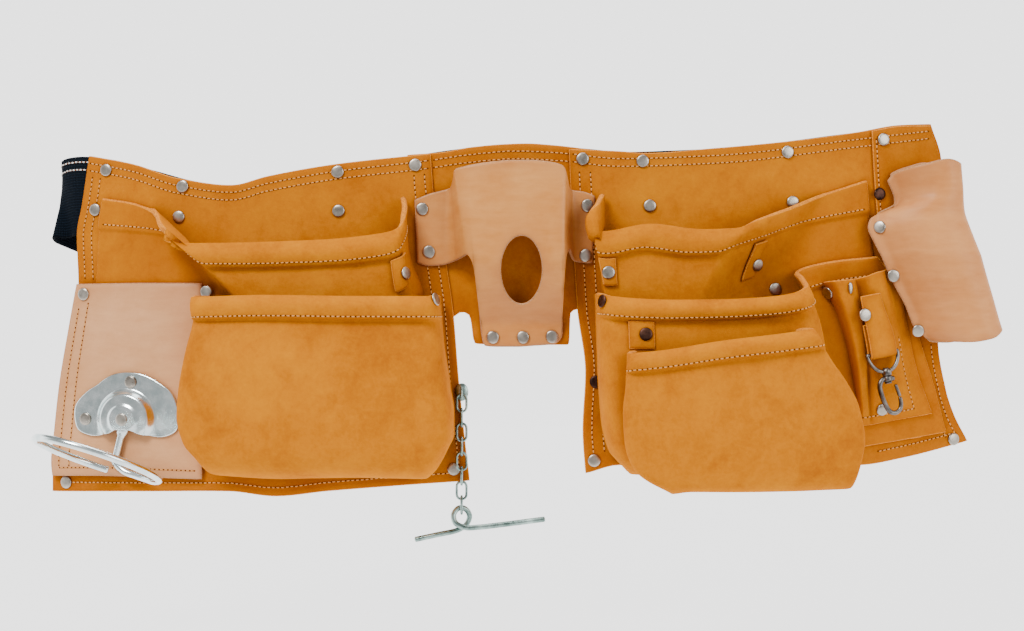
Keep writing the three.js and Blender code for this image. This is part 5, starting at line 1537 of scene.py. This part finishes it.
def sheet_line(x, z, lift):
    x, z = np.broadcast_arrays(np.asarray(x, float), np.asarray(z, float))
    slope = bend_slope(x)
    normals = unit(np.stack([slope, -np.ones_like(slope), np.zeros_like(slope)], axis=-1))
    return place(x, z, lift), normals


def cut_line(edges, s, t, lift):
    flat = patch_between(edges)(s, t)
    return sheet_line(flat[..., 0], flat[..., 1], lift)


def row_at(bag, sink):
    """The row index where a bag's face is a share `sink` below its top edge."""
    upper_sinks = [row[0] for row in bag["down"][:5]]
    return float(np.interp(sink, upper_sinks, range(5)))


# Rows along the waist: from, to and lift, at two distances below the edge
band_rows = [(-0.972, -0.19, panel_lift), (-0.176, 0.128, centre_lift), (0.138, 0.822, panel_lift),
             (0.832, 0.955, on_panel)]
# Rows on the panels: from (s, t) to (s, t) of the panel's own cut
panel_rows = [
    (left_back_edges, panel_lift, [(0.02, 0.06, 0.02, 0.36), (0.044, 0.06, 0.044, 0.36),
                                   (0.981, 0.06, 0.981, 0.95), (0.952, 0.06, 0.952, 0.5)]),
    (right_back_edges, panel_lift, [(0.023, 0.07, 0.023, 0.95), (0.052, 0.07, 0.052, 0.95),
                                    (0.978, 0.68, 0.978, 0.97), (0.95, 0.68, 0.95, 0.97),
                                    (0.76, 0.965, 0.98, 0.965)]),
    (end_panel_edges, on_panel, [(0.05, 0.05, 0.05, 0.47)]),
    (left_back_edges, panel_lift, [(0.03, 0.975, 0.97, 0.975)]),
]
# Rows below the hems: how far down, first and last column
hem_rows = [(0.092, 0.4, 17.7), (0.1, 2.2, 11.8), (0.096, 2.2, 17.6), (0.096, 2.2, 14.8), (0.1, 2.2, 11.8)]


def cut_rows(edges, lift, rows):
    """Lines on a flat piece, each from one place of its cut to another."""
    run = np.linspace(0, 1, 160)
    return [cut_line(edges, s + (s_end - s) * run, t + (t_end - t) * run, lift)
            for s, t, s_end, t_end in rows]


lines = []
for offset in (4.6, 9.8):
    for low, high, lift in band_rows:
        across = np.linspace(low, high, 160)
        lines.append(sheet_line(across * reach, band_up(across) * drop - offset, lift))
for edges, lift, rows in panel_rows:
    lines += cut_rows(edges, lift, rows)
for (name, bag, *_), (sink, first, last) in zip(bags, hem_rows):
    columns = np.linspace(first, last, 260)
    lines.append(face_normal(faces_of[name], columns, np.full(260, row_at(bag, sink))))
for end in (-0.9, 0.9):
    cross = np.linspace(-1, 1, 12)
    lines.append(sheet_line(0.983 * reach + 3 * cross, -0.671 * drop + 3 * end * cross, panel_lift))
bottom = np.linspace(3, sleeve_grid.shape[1] - 4, 90).astype(int)
lines.append((sleeve_grid[-4, bottom], grid_normals(sleeve_grid)[-4, bottom]))
low_half = np.arange(int(sleeve_grid.shape[0] * 0.45), sleeve_grid.shape[0] - 3)
lines.append((sleeve_grid[low_half, -4], grid_normals(sleeve_grid)[low_half, -4]))
sew("suede_stitches", lines, thread, "suede")

patch_rows = [(0.055, 0.13, 0.055, 0.95), (0.125, 0.1, 0.125, 0.95), (0.06, 0.962, 0.96, 0.962)]
sew("patch_stitches", cut_rows(patch_edges, on_patch, patch_rows), thread, "tan")

web_lines = []
belt_normals = grid_normals(belt_grid, True)
around_fold = np.arange(-10, 11)
for offset in (3.2, 8.6):
    k = offset / web_height * (len(heights) - 1)
    j = int(k)
    points = belt_grid[j, around_fold] * (j + 1 - k) + belt_grid[j + 1, around_fold] * (k - j)
    web_lines.append((points, belt_normals[j, around_fold]))
sew("web_stitches", web_lines, white_thread, "webbing")
